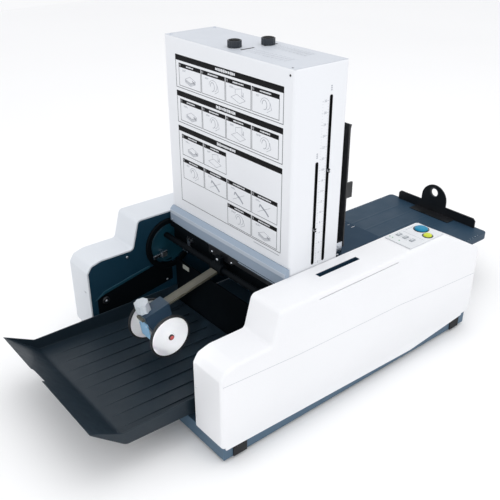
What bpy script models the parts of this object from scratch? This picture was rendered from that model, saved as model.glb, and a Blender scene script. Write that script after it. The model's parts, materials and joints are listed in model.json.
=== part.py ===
"""Tabletop paper-folding machine.

Run with: blender --background --python part.py

Machine coordinates, in metres: X runs from the covers' delivery end (0) to the feed end, Y from the
operator (-) to the far side (+) with 0 midway across, and Z up from the surface the feet stand on. An
empty shifts the whole machine along X, so that the world origin is under the middle of its full length.
"""

import math

import bmesh
import bpy
from mathutils import Matrix, Vector

# ---------------------------------------------------------------- driving dimensions

# body
BODY_LENGTH = 0.694
BODY_DEPTH = 0.530
COVER_LIFT = 0.036
COVER_HEIGHT = 0.228
NEAR_COVER_DEPTH = 0.077
FAR_COVER_DEPTH = 0.080
COVER_WALL = 0.003
COVER_EDGE_ROUND = 0.006
SHOULDER_LENGTH = 0.109
SHOULDER_HEIGHT = 0.166
NOSE_LENGTH = 0.034
NOSE_DROP = 0.022
RISER_RUN = 0.017
SLOPE_LENGTH = 0.128
FEED_END_HEIGHT = 0.158
COVER_FOOT_ROUND = 0.008
COVER_HEEL_ROUND = 0.022
SKIRT_START = 0.008
SKIRT_START_DROP = 0.002
SKIRT_STEP = 0.178
SKIRT_STEP_DROP = 0.0085
SKIRT_DEEPEST = 0.493
SKIRT_DROP = 0.0165
SKIRT_END = 0.664

# base
PAN_INSET = 0.007
PAN_BOTTOM = 0.005
PAN_SHEET = 0.003
FOOT_RADIUS = 0.016
FOOT_INSET = 0.055
FRAME_SHEET = 0.003

# tower
TOWER_START = 0.214
TOWER_THICKNESS = 0.1225
TOWER_TOP = 0.631
TOWER_FOOT = 0.250
TOWER_SHEET = 0.002
TOWER_CORNER_ROUND = 0.006
TOWER_SIDE_GAP = 0.002
FRONT_WALL_FOOT = 0.278
STRIP_HEIGHT = 0.0465
STRIP_PROUD = 0.010
REAR_PANEL_HEAD = 0.514
PANEL_LEAN = 0.0045
PANEL_SHEET = 0.0025
HINGE_BEAD_RADIUS = 0.0025

# folding
FRONT_SLOT_OFFSET = 0.01485
REAR_SLOT_OFFSET = 0.00475
SLOT_WIDTH = 0.006
SLOT_FOOT = 0.270
FRONT_SLOT_HEAD = 0.466
REAR_SLOT_HEAD = 0.578
FRONT_POINTER_Z = 0.3395
REAR_POINTER_Z = 0.4462
CHUTE_GAP = 0.004
CHUTE_SHEET = 0.0012
CHUTE_WIDTH = 0.330
CHUTE_FOOT = 0.222
CHUTE_LUG_HEIGHT = 0.012
FRONT_SCREW_OFFSET = -0.01075
REAR_SCREW_OFFSET = 0.01275
FRONT_SCREW_Y = 0.004
REAR_SCREW_Y = -0.0165
SCREW_RADIUS = 0.004
KNOB_RADIUS = 0.013
KNOB_HEIGHT = 0.012
ROLLER_RADIUS = 0.018
ROLLER_PITCH = 0.0365
ROLLER_Z = 0.205
FIRST_ROLLER_X = 0.2375
ROLLER_LENGTH = 0.330
JOURNAL_RADIUS = 0.005
GEAR_TEETH = 22
PINION_TEETH = 14
GEAR_WIDTH = 0.008
MOTOR_RADIUS = 0.026

# feed
TABLE_END = 0.905
TABLE_TOP = 0.1225
TABLE_WIDTH = 0.305
TABLE_SKIRT = 0.017
TABLE_SHEET = 0.0025
DECK_END = 0.481
DECK_TOP = 0.2515
DECK_SHEET = 0.003
FEED_ROLLER_X = 0.405
FEED_ROLLER_RADIUS = 0.020
FEED_ROLLER_LENGTH = 0.110
FEED_ROLLER_PROUD = 0.005
GUIDE_LENGTH = 0.190
GUIDE_HEIGHT = 0.032
SHEET_WIDTH = 0.297
STOP_WIDTH = 0.240
STOP_HEIGHT = 0.024
EAR_RADIUS = 0.038
EAR_HOLE_RADIUS = 0.0105
EAR_TOP = 0.1965

# delivery
TRAY_REACH = 0.192
TRAY_WIDTH = 0.343
TRAY_RIM_Z = 0.089
TRAY_FLOOR_Z = 0.062
TRAY_TURN_X = 0.134
TRAY_TIP_Z = 0.121
TRAY_SHEET = 0.0025
TRAY_INNER_END = 0.205
WHEEL_RADIUS = 0.0435
WHEEL_X = 0.047
WHEEL_Z = 0.132
WHEEL_SPREAD = 0.0775
WHEEL_THICKNESS = 0.007
TYRE_THICKNESS = 0.0035
RIM_RADIUS = 0.0596
RIM_DEPTH = 0.005
ARM_PIVOT_X = 0.193
ARM_PIVOT_Z = 0.2105
ARM_SLOPE = math.radians(13.2)
RAIL_WIDTH = 0.020
RAIL_THICKNESS = 0.006
RAIL_LENGTH = 0.191
CLAMP_RADIUS = 0.011
CLAMP_LENGTH = 0.032
CROSS_BAR_RADIUS = 0.006
HEAD_FRONT_SPAN = 0.036
HEAD_REAR_SPAN = 0.019
HEAD_COVER = 0.004
HEAD_CHEEK = 0.006
THUMB_AHEAD = 0.025
THUMB_ACROSS = 0.006
THUMB_RADIUS = 0.0145
THUMB_HEIGHT = 0.020

# controls
PANEL_START = 0.463
PANEL_LENGTH = 0.102
PANEL_THICKNESS = 0.0016
START_X = 0.5465
START_INSET = 0.049
STOP_X = 0.5325
STOP_INSET = 0.022
KEY_COLUMN = 0.030
KEY_INSET = 0.0615
KEY_PITCH = 0.0165
HAND_SLOT_START = 0.256
HAND_SLOT_LENGTH = 0.105
HAND_SLOT_INSET = 0.0435
HAND_SLOT_WIDTH = 0.012
START_RADIUS = 0.0135
STOP_RADIUS = 0.0085
BUTTON_PROUD = 0.003
KEY_LENGTH = 0.012
KEY_WIDTH = 0.0075

# fits
GAP = 0.0004
RUNNING_GAP = 0.00008

# ---------------------------------------------------------------- sizes worked out from those above

COVER_BASE = COVER_LIFT
COVER_TOP = COVER_LIFT + COVER_HEIGHT
NEAR_SIDE = -BODY_DEPTH / 2
FAR_SIDE = BODY_DEPTH / 2
NEAR_INNER = NEAR_SIDE + NEAR_COVER_DEPTH
FAR_INNER = FAR_SIDE - FAR_COVER_DEPTH
BAY_MIDDLE = (NEAR_INNER + FAR_INNER) / 2
FRONT_CHUTE_X = FIRST_ROLLER_X + ROLLER_PITCH / 2
REAR_CHUTE_X = FIRST_ROLLER_X + ROLLER_PITCH * 1.5
FRONT_SLOT_X = FRONT_CHUTE_X + FRONT_SLOT_OFFSET
REAR_SLOT_X = REAR_CHUTE_X + REAR_SLOT_OFFSET
FRONT_SCREW_X = FRONT_CHUTE_X + FRONT_SCREW_OFFSET
REAR_SCREW_X = REAR_CHUTE_X + REAR_SCREW_OFFSET
TOWER_END = TOWER_START + TOWER_THICKNESS
TOWER_NEAR = NEAR_INNER + TOWER_SIDE_GAP
TOWER_FAR = FAR_INNER - TOWER_SIDE_GAP
SHIFT_X = -(TABLE_END - TRAY_REACH) / 2
GEAR_MODULE = ROLLER_PITCH / GEAR_TEETH
GEAR_Y = FAR_INNER + 0.014
FEED_ROLLER_Z = TABLE_TOP + FEED_ROLLER_PROUD - FEED_ROLLER_RADIUS

# ---------------------------------------------------------------- clearing and materials


def clear_scene():
    for item in list(bpy.data.objects):
        bpy.data.objects.remove(item)


def material(name, colour, roughness, metallic=0.0):
    made = bpy.data.materials.new(name)
    made.use_nodes = True
    shader = made.node_tree.nodes["Principled BSDF"]
    shader.inputs["Base Color"].default_value = (*colour, 1.0)
    shader.inputs["Roughness"].default_value = roughness
    shader.inputs["Metallic"].default_value = metallic
    return made


def material_like(source, name):
    """Each sub-part carries a material of its own; like pieces share a recipe."""
    copy = source.copy()
    copy.name = name
    return copy


# ---------------------------------------------------------------- building blocks


def object_of(bm, name, look, pivot=(0.0, 0.0, 0.0)):
    """Turns a bmesh in machine coordinates into an object whose origin is the pivot."""
    bmesh.ops.remove_doubles(bm, verts=bm.verts, dist=1e-6)
    bmesh.ops.recalc_face_normals(bm, faces=bm.faces)
    bmesh.ops.translate(bm, verts=bm.verts, vec=-Vector(pivot))
    mesh = bpy.data.meshes.new(name)
    bm.to_mesh(mesh)
    bm.free()
    mesh.shade_smooth()
    mesh.set_sharp_from_angle(angle=math.radians(30))
    made = bpy.data.objects.new(name, mesh)
    made.location = pivot
    made.parent = MACHINE
    mesh.materials.append(material_like(look, name + "_finish"))
    bpy.context.scene.collection.objects.link(made)
    return made


def cutter_of(bm, name):
    """A cutter: it shapes other objects and isn't part of the machine."""
    made = object_of(bm, name, LOOK["cutter"])
    made.hide_render = True
    made.display_type = "WIRE"
    return made


def combine(target, other, operation):
    step = target.modifiers.new(operation.lower() + "_" + other.name, "BOOLEAN")
    step.operation = operation
    step.solver = "EXACT"
    step.object = other


def cut(target, *cutters):
    for cutter in cutters:
        combine(target, cutter, "DIFFERENCE")


def join_shapes(target, other):
    """Unites a helper shape with the target; the helper itself is hidden away as a cutter is."""
    other.hide_render = True
    other.display_type = "WIRE"
    combine(target, other, "UNION")


def axis_matrix(axis):
    """Maps an outline's own (u, v, w) to X, Y, Z, with w along the axis."""
    if axis == "Z":
        return Matrix.Identity(4)
    if axis == "Y":
        return Matrix(((1, 0, 0, 0), (0, 0, 1, 0), (0, 1, 0, 0), (0, 0, 0, 1)))
    return Matrix(((0, 0, 1, 0), (1, 0, 0, 0), (0, 1, 0, 0), (0, 0, 0, 1)))


def prism(outline, axis, low, high):
    """An outline pushed along an axis. Its points are (X, Y) for Z, (X, Z) for Y and (Y, Z) for X."""
    bm = bmesh.new()
    floor = [bm.verts.new((u, v, low)) for u, v in outline]
    face = bm.faces.new(floor)
    grown = bmesh.ops.extrude_face_region(bm, geom=[face])
    tops = [item for item in grown["geom"] if isinstance(item, bmesh.types.BMVert)]
    bmesh.ops.translate(bm, verts=tops, vec=(0, 0, high - low))
    bmesh.ops.transform(bm, matrix=axis_matrix(axis), verts=bm.verts)
    return bm


def box(x0, x1, y0, y1, z0, z1):
    return prism([(x0, y0), (x1, y0), (x1, y1), (x0, y1)], "Z", z0, z1)


def corner_arc(before, corner, after, radius, steps):
    """Points of the round that replaces one corner of an outline."""
    corner = Vector(corner)
    to_before = (Vector(before) - corner).normalized()
    to_after = (Vector(after) - corner).normalized()
    half = to_before.angle(to_after) / 2
    reach = radius / math.tan(half)
    centre = corner + (to_before + to_after).normalized() * (radius / math.sin(half))
    start = corner + to_before * reach - centre
    end = corner + to_after * reach - centre
    turn = start.angle_signed(end)
    points = []
    for step in range(steps + 1):
        angle = -turn * step / steps
        spun = Matrix.Rotation(angle, 2) @ start
        points.append(tuple(centre + spun))
    return points


def rounded(corners, steps=4):
    """An outline from (u, v, radius) corners."""
    points = []
    count = len(corners)
    for index, (u, v, radius) in enumerate(corners):
        if radius <= 0:
            points.append((u, v))
            continue
        before = corners[index - 1][:2]
        after = corners[(index + 1) % count][:2]
        points += corner_arc(before, (u, v), after, radius, steps)
    return points


def inset_corners(corners, depth):
    """The same corners moved inwards by a wall; the outline runs clockwise in (u, v)."""
    moved = []
    count = len(corners)
    for index, (u, v, radius) in enumerate(corners):
        here = Vector((u, v))
        back = (here - Vector(corners[index - 1][:2])).normalized()
        ahead = (Vector(corners[(index + 1) % count][:2]) - here).normalized()
        right_back = Vector((back.y, -back.x))
        right_ahead = Vector((ahead.y, -ahead.x))
        bisector = (right_back + right_ahead).normalized()
        spot = here + bisector * (depth / bisector.dot(right_back))
        turns_in = back.cross(ahead) < 0
        new_radius = max(radius - depth, 0.001) if turns_in else radius + depth
        moved.append((spot.x, spot.y, new_radius if radius > 0 else 0.0))
    return moved


def turned(profile, axis, centre, sides=32):
    """A turned solid: profile points are (radius, distance along the axis), from one end to the other."""
    bm = bmesh.new()
    rings = []
    for radius, along in profile:
        ring = []
        for side in range(sides):
            angle = 2 * math.pi * side / sides
            ring.append(bm.verts.new((radius * math.cos(angle), radius * math.sin(angle), along)))
        rings.append(ring)
    for lower, upper in zip(rings, rings[1:]):
        for side in range(sides):
            other = (side + 1) % sides
            bm.faces.new((lower[side], lower[other], upper[other], upper[side]))
    bm.faces.new(rings[0])
    bm.faces.new(rings[-1])
    bmesh.ops.transform(bm, matrix=Matrix.Translation(centre) @ axis_matrix(axis), verts=bm.verts)
    return bm


def turned_ring(profile, axis, centre, sides=48):
    """A turned ring: the profile is a closed loop of (radius, distance along the axis)."""
    bm = bmesh.new()
    count = len(profile)
    grid = []
    for side in range(sides):
        angle = 2 * math.pi * side / sides
        spoke = Vector((math.cos(angle), math.sin(angle), 0))
        grid.append([bm.verts.new(spoke * r + Vector((0, 0, a))) for r, a in profile])
    for side in range(sides):
        here = grid[side]
        there = grid[(side + 1) % sides]
        for index in range(count):
            after = (index + 1) % count
            bm.faces.new((here[index], here[after], there[after], there[index]))
    bmesh.ops.transform(bm, matrix=Matrix.Translation(centre) @ axis_matrix(axis), verts=bm.verts)
    return bm


def rod(radius, axis, centre, low, high, sides=24):
    """A plain cylinder between two distances along its axis."""
    return turned([(radius, low), (radius, high)], axis, centre, sides)


def round_edges(bm, chosen, radius, steps):
    edges = [edge for edge in bm.edges if chosen(edge)]
    bmesh.ops.bevel(bm, geom=edges, offset=radius, segments=steps, profile=0.5, affect="EDGES")


# ---------------------------------------------------------------- base and frames


def make_base():
    near = NEAR_SIDE + PAN_INSET
    far = FAR_SIDE - PAN_INSET
    top = COVER_BASE - GAP
    outer = box(PAN_INSET, BODY_LENGTH - PAN_INSET, near, far, PAN_BOTTOM, top)
    pan = object_of(outer, "base_pan", LOOK["base"])
    hollow = box(
        PAN_INSET + PAN_SHEET,
        BODY_LENGTH - PAN_INSET - PAN_SHEET,
        near + PAN_SHEET,
        far - PAN_SHEET,
        0.0,
        top - PAN_SHEET,
    )
    cut(pan, cutter_of(hollow, "cut_base_pan"))
    for x_name, x in (("delivery", FOOT_INSET), ("feed", BODY_LENGTH - FOOT_INSET)):
        for y_name, y in (("near", near + FOOT_INSET / 2), ("far", far - FOOT_INSET / 2)):
            profile = [
                (FOOT_RADIUS * 0.85, 0.0),
                (FOOT_RADIUS, 0.002),
                (FOOT_RADIUS, top - PAN_SHEET - GAP),
            ]
            foot = turned(profile, "Z", (x, y, 0), 20)
            object_of(foot, "foot_" + x_name + "_" + y_name, LOOK["rubber"], (x, y, 0))


def cover_corners():
    """The covers' side outline, clockwise from the foot of the delivery end."""
    base = COVER_BASE
    riser_top = SHOULDER_LENGTH + RISER_RUN
    return [
        (0.0, base, COVER_FOOT_ROUND),
        (0.0, base + SHOULDER_HEIGHT - NOSE_DROP, 0.008),
        (NOSE_LENGTH * 0.3, base + SHOULDER_HEIGHT - NOSE_DROP * 0.29, 0.012),
        (NOSE_LENGTH, base + SHOULDER_HEIGHT, 0.030),
        (SHOULDER_LENGTH, base + SHOULDER_HEIGHT, 0.008),
        (riser_top, COVER_TOP, 0.011),
        (BODY_LENGTH - SLOPE_LENGTH, COVER_TOP, 0.020),
        (BODY_LENGTH, base + FEED_END_HEIGHT, 0.014),
        (BODY_LENGTH, base, COVER_HEEL_ROUND),
    ]


def cover_shell(name, outer_y, inner_y):
    inwards = 1.0 if inner_y > outer_y else -1.0
    low, high = sorted((outer_y, inner_y))
    bm = prism(rounded(cover_corners()), "Y", low, high)

    def on_outer_edge(edge):
        ys = [vert.co.y for vert in edge.verts]
        return all(abs(y - outer_y) < 1e-6 for y in ys)

    round_edges(bm, on_outer_edge, COVER_EDGE_ROUND, 3)
    shell = object_of(bm, name, LOOK["cover"])
    inside = rounded(inset_corners(cover_corners(), COVER_WALL))
    wall_y = outer_y + inwards * COVER_WALL
    low, high = sorted((wall_y, inner_y + inwards * 0.01))
    cut(shell, cutter_of(prism(inside, "Y", low, high), "cut_" + name))
    low, high = sorted((outer_y, wall_y))
    skirt = object_of(prism(skirt_outline(), "Y", low, high), "shape_skirt_" + name, LOOK["cover"])
    join_shapes(shell, skirt)
    return shell


def skirt_outline():
    """The outer wall hangs below the covers' floor, deepest two thirds of the way to the feed end."""
    base = COVER_BASE
    return [
        (SKIRT_START, base + COVER_EDGE_ROUND + 0.004),
        (SKIRT_END, base + COVER_EDGE_ROUND + 0.004),
        (SKIRT_END, base),
        (SKIRT_DEEPEST, base - SKIRT_DROP),
        (SKIRT_STEP, base - SKIRT_STEP_DROP),
        (SKIRT_START, base - SKIRT_START_DROP),
    ]


def frame_plate(name, inner_y, inwards):
    """The dark steel side frame: it closes the cover's open side, just behind its rim."""
    outline = rounded(inset_corners(cover_corners(), COVER_WALL + GAP))
    near_face = inner_y - inwards * GAP
    back_face = inner_y - inwards * (GAP + FRAME_SHEET)
    low, high = sorted((near_face, back_face))
    return object_of(prism(outline, "Y", low, high), name, LOOK["frame"])


def journal_holes(plate):
    for index, (x, z) in enumerate(roller_places()):
        bore = rod(JOURNAL_RADIUS + RUNNING_GAP, "Y", (x, 0, z), -0.3, 0.3)
        cut(plate, cutter_of(bore, "cut_journal_" + str(index) + "_" + plate.name))
    bore = rod(JOURNAL_RADIUS + RUNNING_GAP, "Y", (FEED_ROLLER_X, 0, FEED_ROLLER_Z), -0.3, 0.3)
    cut(plate, cutter_of(bore, "cut_feed_journal_" + plate.name))


def make_covers():
    near = cover_shell("cover_near", NEAR_SIDE, NEAR_INNER)
    far = cover_shell("cover_far", FAR_SIDE, FAR_INNER)
    journal_holes(frame_plate("side_frame_near", NEAR_INNER, 1.0))
    journal_holes(frame_plate("side_frame_far", FAR_INNER, -1.0))
    slot_y = NEAR_SIDE + HAND_SLOT_INSET
    slot = box(
        HAND_SLOT_START,
        HAND_SLOT_START + HAND_SLOT_LENGTH,
        slot_y,
        slot_y + HAND_SLOT_WIDTH,
        COVER_TOP - 0.01,
        COVER_TOP + 0.01,
    )
    slit = box(0.214, 0.421, NEAR_SIDE - 0.01, NEAR_SIDE + 0.01, COVER_TOP - 0.0105, COVER_TOP - 0.009)
    cut(near, cutter_of(slot, "cut_lever_slot"), cutter_of(slit, "cut_side_slit"))
    for index, (shell, y) in enumerate(((near, NEAR_INNER - 0.005), (far, FAR_INNER + 0.017))):
        latch = box(-0.01, 0.01, y - 0.004, y + 0.004, COVER_BASE + 0.094, COVER_BASE + 0.0965)
        cut(shell, cutter_of(latch, "cut_end_slit_" + str(index)))
    return near, far


def make_inner_trim():
    """The round rim on the far inner face, and the plate that closes the bay behind the tray."""
    inner = RIM_RADIUS - 0.0126
    outline = [
        (inner, 0.0),
        (RIM_RADIUS, 0.0),
        (RIM_RADIUS, -RIM_DEPTH + 0.002),
        (RIM_RADIUS - 0.002, -RIM_DEPTH),
        (inner + 0.002, -RIM_DEPTH),
        (inner, -RIM_DEPTH + 0.002),
    ]
    centre = (0.1995, FAR_INNER - GAP, COVER_BASE + 0.1525)
    object_of(turned_ring(outline, "Y", centre), "round_cover_rim", LOOK["black"])
    near = NEAR_INNER + GAP
    far = FAR_INNER - 2 * GAP - RIM_DEPTH
    plate = box(TRAY_INNER_END + 0.006, TRAY_INNER_END + 0.009, near, far, COVER_BASE, 0.150)
    object_of(plate, "delivery_bulkhead", LOOK["frame"])


# ---------------------------------------------------------------- tower


def make_tower():
    corners = [
        (TOWER_START, TOWER_NEAR, TOWER_CORNER_ROUND),
        (TOWER_START, TOWER_FAR, TOWER_CORNER_ROUND),
        (TOWER_END, TOWER_FAR, TOWER_CORNER_ROUND),
        (TOWER_END, TOWER_NEAR, TOWER_CORNER_ROUND),
    ]
    bm = prism(rounded(corners), "Z", TOWER_FOOT, TOWER_TOP)

    def on_top(edge):
        return all(abs(vert.co.z - TOWER_TOP) < 1e-6 for vert in edge.verts)

    sheet = TOWER_SHEET
    round_edges(bm, on_top, sheet, 2)
    housing = object_of(bm, "tower_housing", LOOK["tower"])
    inside = rounded(inset_corners(corners, sheet))
    hollow = prism(inside, "Z", TOWER_FOOT - 0.01, TOWER_TOP - sheet)
    front = box(
        TOWER_START - 0.01,
        TOWER_START + 0.012,
        TOWER_NEAR + sheet + 0.002,
        TOWER_FAR - sheet - 0.002,
        TOWER_FOOT - 0.01,
        FRONT_WALL_FOOT,
    )
    cut(housing, cutter_of(hollow, "cut_tower"), cutter_of(front, "cut_tower_front"))
    for name, x, head in (("front", FRONT_SLOT_X, FRONT_SLOT_HEAD), ("rear", REAR_SLOT_X, REAR_SLOT_HEAD)):
        half = SLOT_WIDTH / 2
        slot = box(x - half, x + half, TOWER_NEAR - 0.01, TOWER_NEAR + 0.01, SLOT_FOOT, head)
        cut(housing, cutter_of(slot, "cut_scale_slot_" + name))
    for name, x, y in screw_places():
        hole = rod(SCREW_RADIUS + RUNNING_GAP, "Z", (x, y, 0), TOWER_TOP - 0.02, TOWER_TOP + 0.02)
        cut(housing, cutter_of(hole, "cut_screw_hole_" + name))
    return housing


def make_strip():
    """The blue-grey front rail under the tower's front wall, and the black bracket that hangs from it."""
    top = FRONT_WALL_FOOT - GAP
    foot = top - STRIP_HEIGHT
    front = TOWER_START - STRIP_PROUD
    back = TOWER_START - GAP
    outline = [
        (back, foot + 0.004),
        (front + 0.002, foot),
        (front, foot + 0.002),
        (front, top - 0.006),
        (back - 0.003, top + 0.001),
        (back, top + 0.001),
    ]
    near = NEAR_INNER + GAP
    far = FAR_INNER - 2 * GAP - RIM_DEPTH
    object_of(prism(outline, "Y", near, far), "front_strip", LOOK["strip"])
    bracket_top = foot + 0.012
    bracket = rounded(
        [
            (-0.052, bracket_top - 0.004, 0.0),
            (-0.052, bracket_top, 0.0),
            (0.040, bracket_top, 0.002),
            (0.040, bracket_top - 0.018, 0.004),
            (-0.034, bracket_top - 0.018, 0.003),
            (-0.040, bracket_top - 0.012, 0.004),
            (-0.157, bracket_top - 0.012, 0.0),
            (-0.157, bracket_top - 0.004, 0.0),
        ],
        3,
    )
    plate = prism(bracket, "X", front - GAP - 0.002, front - GAP)
    object_of(plate, "strip_bracket", LOOK["black"])


def screw_places():
    return (("front", FRONT_SCREW_X, FRONT_SCREW_Y), ("rear", REAR_SCREW_X, REAR_SCREW_Y))


def make_fold_plates():
    """Each chute is two sheets joined along the far edge, open below, above and on the operator's side."""
    half = CHUTE_WIDTH / 2
    heads = (("front", FRONT_CHUTE_X, FRONT_SLOT_HEAD), ("rear", REAR_CHUTE_X, REAR_SLOT_HEAD))
    for (name, x, head), (_, screw_x, screw_y) in zip(heads, screw_places()):
        reach = CHUTE_GAP / 2 + CHUTE_SHEET
        top = head + 0.020
        outer = box(x - reach, x + reach, -half, half, CHUTE_FOOT, top)
        chute = object_of(outer, "fold_plate_" + name, LOOK["steel"])
        lug_foot = TOWER_FOOT + 0.002
        lugs = box(
            x - reach,
            x + reach,
            TOWER_NEAR + TOWER_SHEET + GAP,
            TOWER_FAR - TOWER_SHEET - GAP,
            lug_foot,
            lug_foot + CHUTE_LUG_HEIGHT,
        )
        join_shapes(chute, object_of(lugs, "shape_chute_lugs_" + name, LOOK["steel"]))
        inner = CHUTE_GAP / 2
        gap = box(x - inner, x + inner, -half - 0.002, half - 0.006, CHUTE_FOOT - 0.01, top + 0.01)
        low, high = sorted((x, screw_x))
        neck = box(low, high, screw_y - 0.007, screw_y + 0.007, CHUTE_FOOT + 0.014, top - 0.008)
        cut(chute, cutter_of(gap, "cut_chute_" + name), cutter_of(neck, "cut_neck_" + name))


def fold_stop(name, chute_x, slot_x, pointer_z, screw_x, screw_y):
    """The stop bar in its chute, the nut it hangs on and the arm that carries the pointer."""
    thick = CHUTE_GAP - 0.0012
    half = CHUTE_WIDTH / 2
    z0 = pointer_z - 0.004
    z1 = pointer_z + 0.004
    pivot = (screw_x, screw_y, pointer_z)
    bar = box(chute_x - thick / 2, chute_x + thick / 2, -half - 0.004, half - 0.008, z0, z1)
    stop = object_of(bar, "fold_stop_" + name, LOOK["steel"], pivot)
    low, high = sorted((chute_x, slot_x))
    cross = box(low - thick / 2, high + thick / 2, -half - 0.006, -half - 0.002, z0, z1)
    join_shapes(stop, object_of(cross, "shape_cross_" + name, LOOK["steel"]))
    blade = SLOT_WIDTH - 0.002
    arm = box(slot_x - blade / 2, slot_x + blade / 2, TOWER_NEAR - 0.003, -half - 0.003, z0 + 0.002, z1 - 0.002)
    join_shapes(stop, object_of(arm, "shape_arm_" + name, LOOK["steel"]))
    low, high = sorted((chute_x, screw_x))
    neck = box(low, high, screw_y - 0.005, screw_y + 0.005, z0, z1)
    join_shapes(stop, object_of(neck, "shape_neck_" + name, LOOK["steel"]))
    nut = box(screw_x - 0.007, screw_x + 0.007, screw_y - 0.009, screw_y + 0.009, z0 - 0.003, z1 + 0.003)
    join_shapes(stop, object_of(nut, "shape_nut_" + name, LOOK["steel"]))
    bore = rod(SCREW_RADIUS + RUNNING_GAP, "Z", (screw_x, screw_y, pointer_z), -0.02, 0.02)
    cut(stop, cutter_of(bore, "cut_nut_" + name))


def make_fold_stops():
    fold_stop("front", FRONT_CHUTE_X, FRONT_SLOT_X, FRONT_POINTER_Z, FRONT_SCREW_X, FRONT_SCREW_Y)
    fold_stop("rear", REAR_CHUTE_X, REAR_SLOT_X, REAR_POINTER_Z, REAR_SCREW_X, REAR_SCREW_Y)


def make_stop_knobs():
    """A lead screw runs down through the nut of each stop; its knob sits on the tower's top."""
    for name, x, y in screw_places():
        pivot = (x, y, TOWER_TOP)
        base = TOWER_TOP + GAP
        screw = rod(SCREW_RADIUS, "Z", (x, y, 0), CHUTE_FOOT + 0.012, base + 0.003, 20)
        object_of(screw, "lead_screw_" + name, LOOK["steel"], pivot)
        object_of(knob_body(x, y, base), "stop_knob_" + name, LOOK["knob"], pivot)


def knob_body(x, y, base):
    """A low knob with grip flutes and a blind socket for its screw."""
    flutes = 18
    outline = []
    for step in range(flutes * 2):
        radius = KNOB_RADIUS if step % 2 else KNOB_RADIUS - 0.0009
        angle = math.pi * step / flutes
        outline.append((x + radius * math.cos(angle), y + radius * math.sin(angle)))
    bm = prism(outline, "Z", base, base + KNOB_HEIGHT)
    socket = [vert for vert in bm.verts if vert.co.z < base + 1e-6]
    floor = next(face for face in bm.faces if all(vert in socket for vert in face.verts))
    bmesh.ops.inset_region(bm, faces=[floor], thickness=KNOB_RADIUS - SCREW_RADIUS - 0.002)
    bmesh.ops.translate(bm, verts=floor.verts, vec=(0, 0, KNOB_HEIGHT / 2))
    return bm


def make_rear_panel():
    """The black sheet behind the tower: hinged at its foot, hooked at its head, with a tab to pull."""
    hinge_x = TOWER_END + 0.0245
    hinge_z = COVER_TOP + 0.010
    pivot = (hinge_x, 0, hinge_z)
    near = TOWER_NEAR + 0.010
    far = TOWER_FAR - 0.010
    head_x = hinge_x - PANEL_LEAN
    outline = [
        (hinge_x - 0.0005, hinge_z),
        (head_x, REAR_PANEL_HEAD),
        (head_x + PANEL_SHEET + 0.004, REAR_PANEL_HEAD - 0.002),
        (head_x + PANEL_SHEET + 0.002, REAR_PANEL_HEAD - 0.010),
        (hinge_x + PANEL_SHEET - 0.0005, hinge_z),
    ]
    panel = object_of(prism(outline, "Y", near, far), "rear_panel", LOOK["black"], pivot)
    bead = rod(HINGE_BEAD_RADIUS, "Y", (hinge_x, 0, hinge_z), near + 0.0001, far - 0.0001, 16)
    join_shapes(panel, object_of(bead, "shape_hinge_bead", LOOK["black"]))
    tab = box(hinge_x - 0.001, hinge_x + 0.015, near + 0.0001, near + 0.004, 0.371, 0.401)
    join_shapes(panel, object_of(tab, "shape_panel_tab", LOOK["black"]))
    floor = DECK_TOP + GAP
    back = hinge_x - HINGE_BEAD_RADIUS - GAP
    front = TOWER_END + GAP
    post = box(front, back, near, near + 0.006, floor, hinge_z + 0.010)
    bracket = object_of(post, "panel_bracket", LOOK["bright"])
    other = box(front, back, far - 0.006, far, floor, hinge_z + 0.010)
    join_shapes(bracket, object_of(other, "shape_bracket_far", LOOK["bright"]))
    beam = box(front, front + 0.003, near + 0.001, far - 0.001, floor, floor + 0.012)
    join_shapes(bracket, object_of(beam, "shape_bracket_beam", LOOK["bright"]))


# ---------------------------------------------------------------- rollers and drive


def roller_places():
    return [(FIRST_ROLLER_X + index * ROLLER_PITCH, ROLLER_Z) for index in range(3)]


def gear_outline(x, z, teeth, phase):
    """Straight-flanked teeth, slim enough to run with play."""
    pitch = GEAR_MODULE * teeth / 2
    tip = pitch + 0.75 * GEAR_MODULE
    root = pitch - 1.15 * GEAR_MODULE
    step = 2 * math.pi / teeth
    points = []
    for tooth in range(teeth):
        middle = phase + tooth * step
        for radius, offset in ((root, -0.30), (tip, -0.13), (tip, 0.13), (root, 0.30)):
            angle = middle + offset * step
            points.append((x + radius * math.cos(angle), z + radius * math.sin(angle)))
    return points


def make_rollers():
    names = ("fold_roller_delivery", "fold_roller_middle", "fold_roller_feed")
    half = ROLLER_LENGTH / 2
    near = NEAR_INNER - GAP - FRAME_SHEET - 0.004
    far = GEAR_Y + GEAR_WIDTH + 0.004
    for index, (name, (x, z)) in enumerate(zip(names, roller_places())):
        pivot = (x, 0, z)
        profile = [
            (JOURNAL_RADIUS, near),
            (JOURNAL_RADIUS, -half),
            (ROLLER_RADIUS, -half),
            (ROLLER_RADIUS, half),
            (JOURNAL_RADIUS, half),
            (JOURNAL_RADIUS, far),
        ]
        object_of(turned(profile, "Y", pivot_on_axis(x, z), 28), name, LOOK["roller"], pivot)
        phase = math.pi / GEAR_TEETH if index % 2 else 0.0
        outline = gear_outline(x, z, GEAR_TEETH, phase)
        gear = object_of(prism(outline, "Y", GEAR_Y, GEAR_Y + GEAR_WIDTH), "gear_" + name, LOOK["gear"], pivot)
        bore = rod(JOURNAL_RADIUS + RUNNING_GAP, "Y", pivot_on_axis(x, z), GEAR_Y - 0.01, GEAR_Y + 0.03)
        cut(gear, cutter_of(bore, "cut_gear_" + name))


def pivot_on_axis(x, z):
    """A centre for pieces turned about a line along Y: their distances are then plain Y values."""
    return (x, 0.0, z)


def pinion_place():
    x, z = roller_places()[2]
    return x, z - GEAR_MODULE * (GEAR_TEETH + PINION_TEETH) / 2


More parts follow.
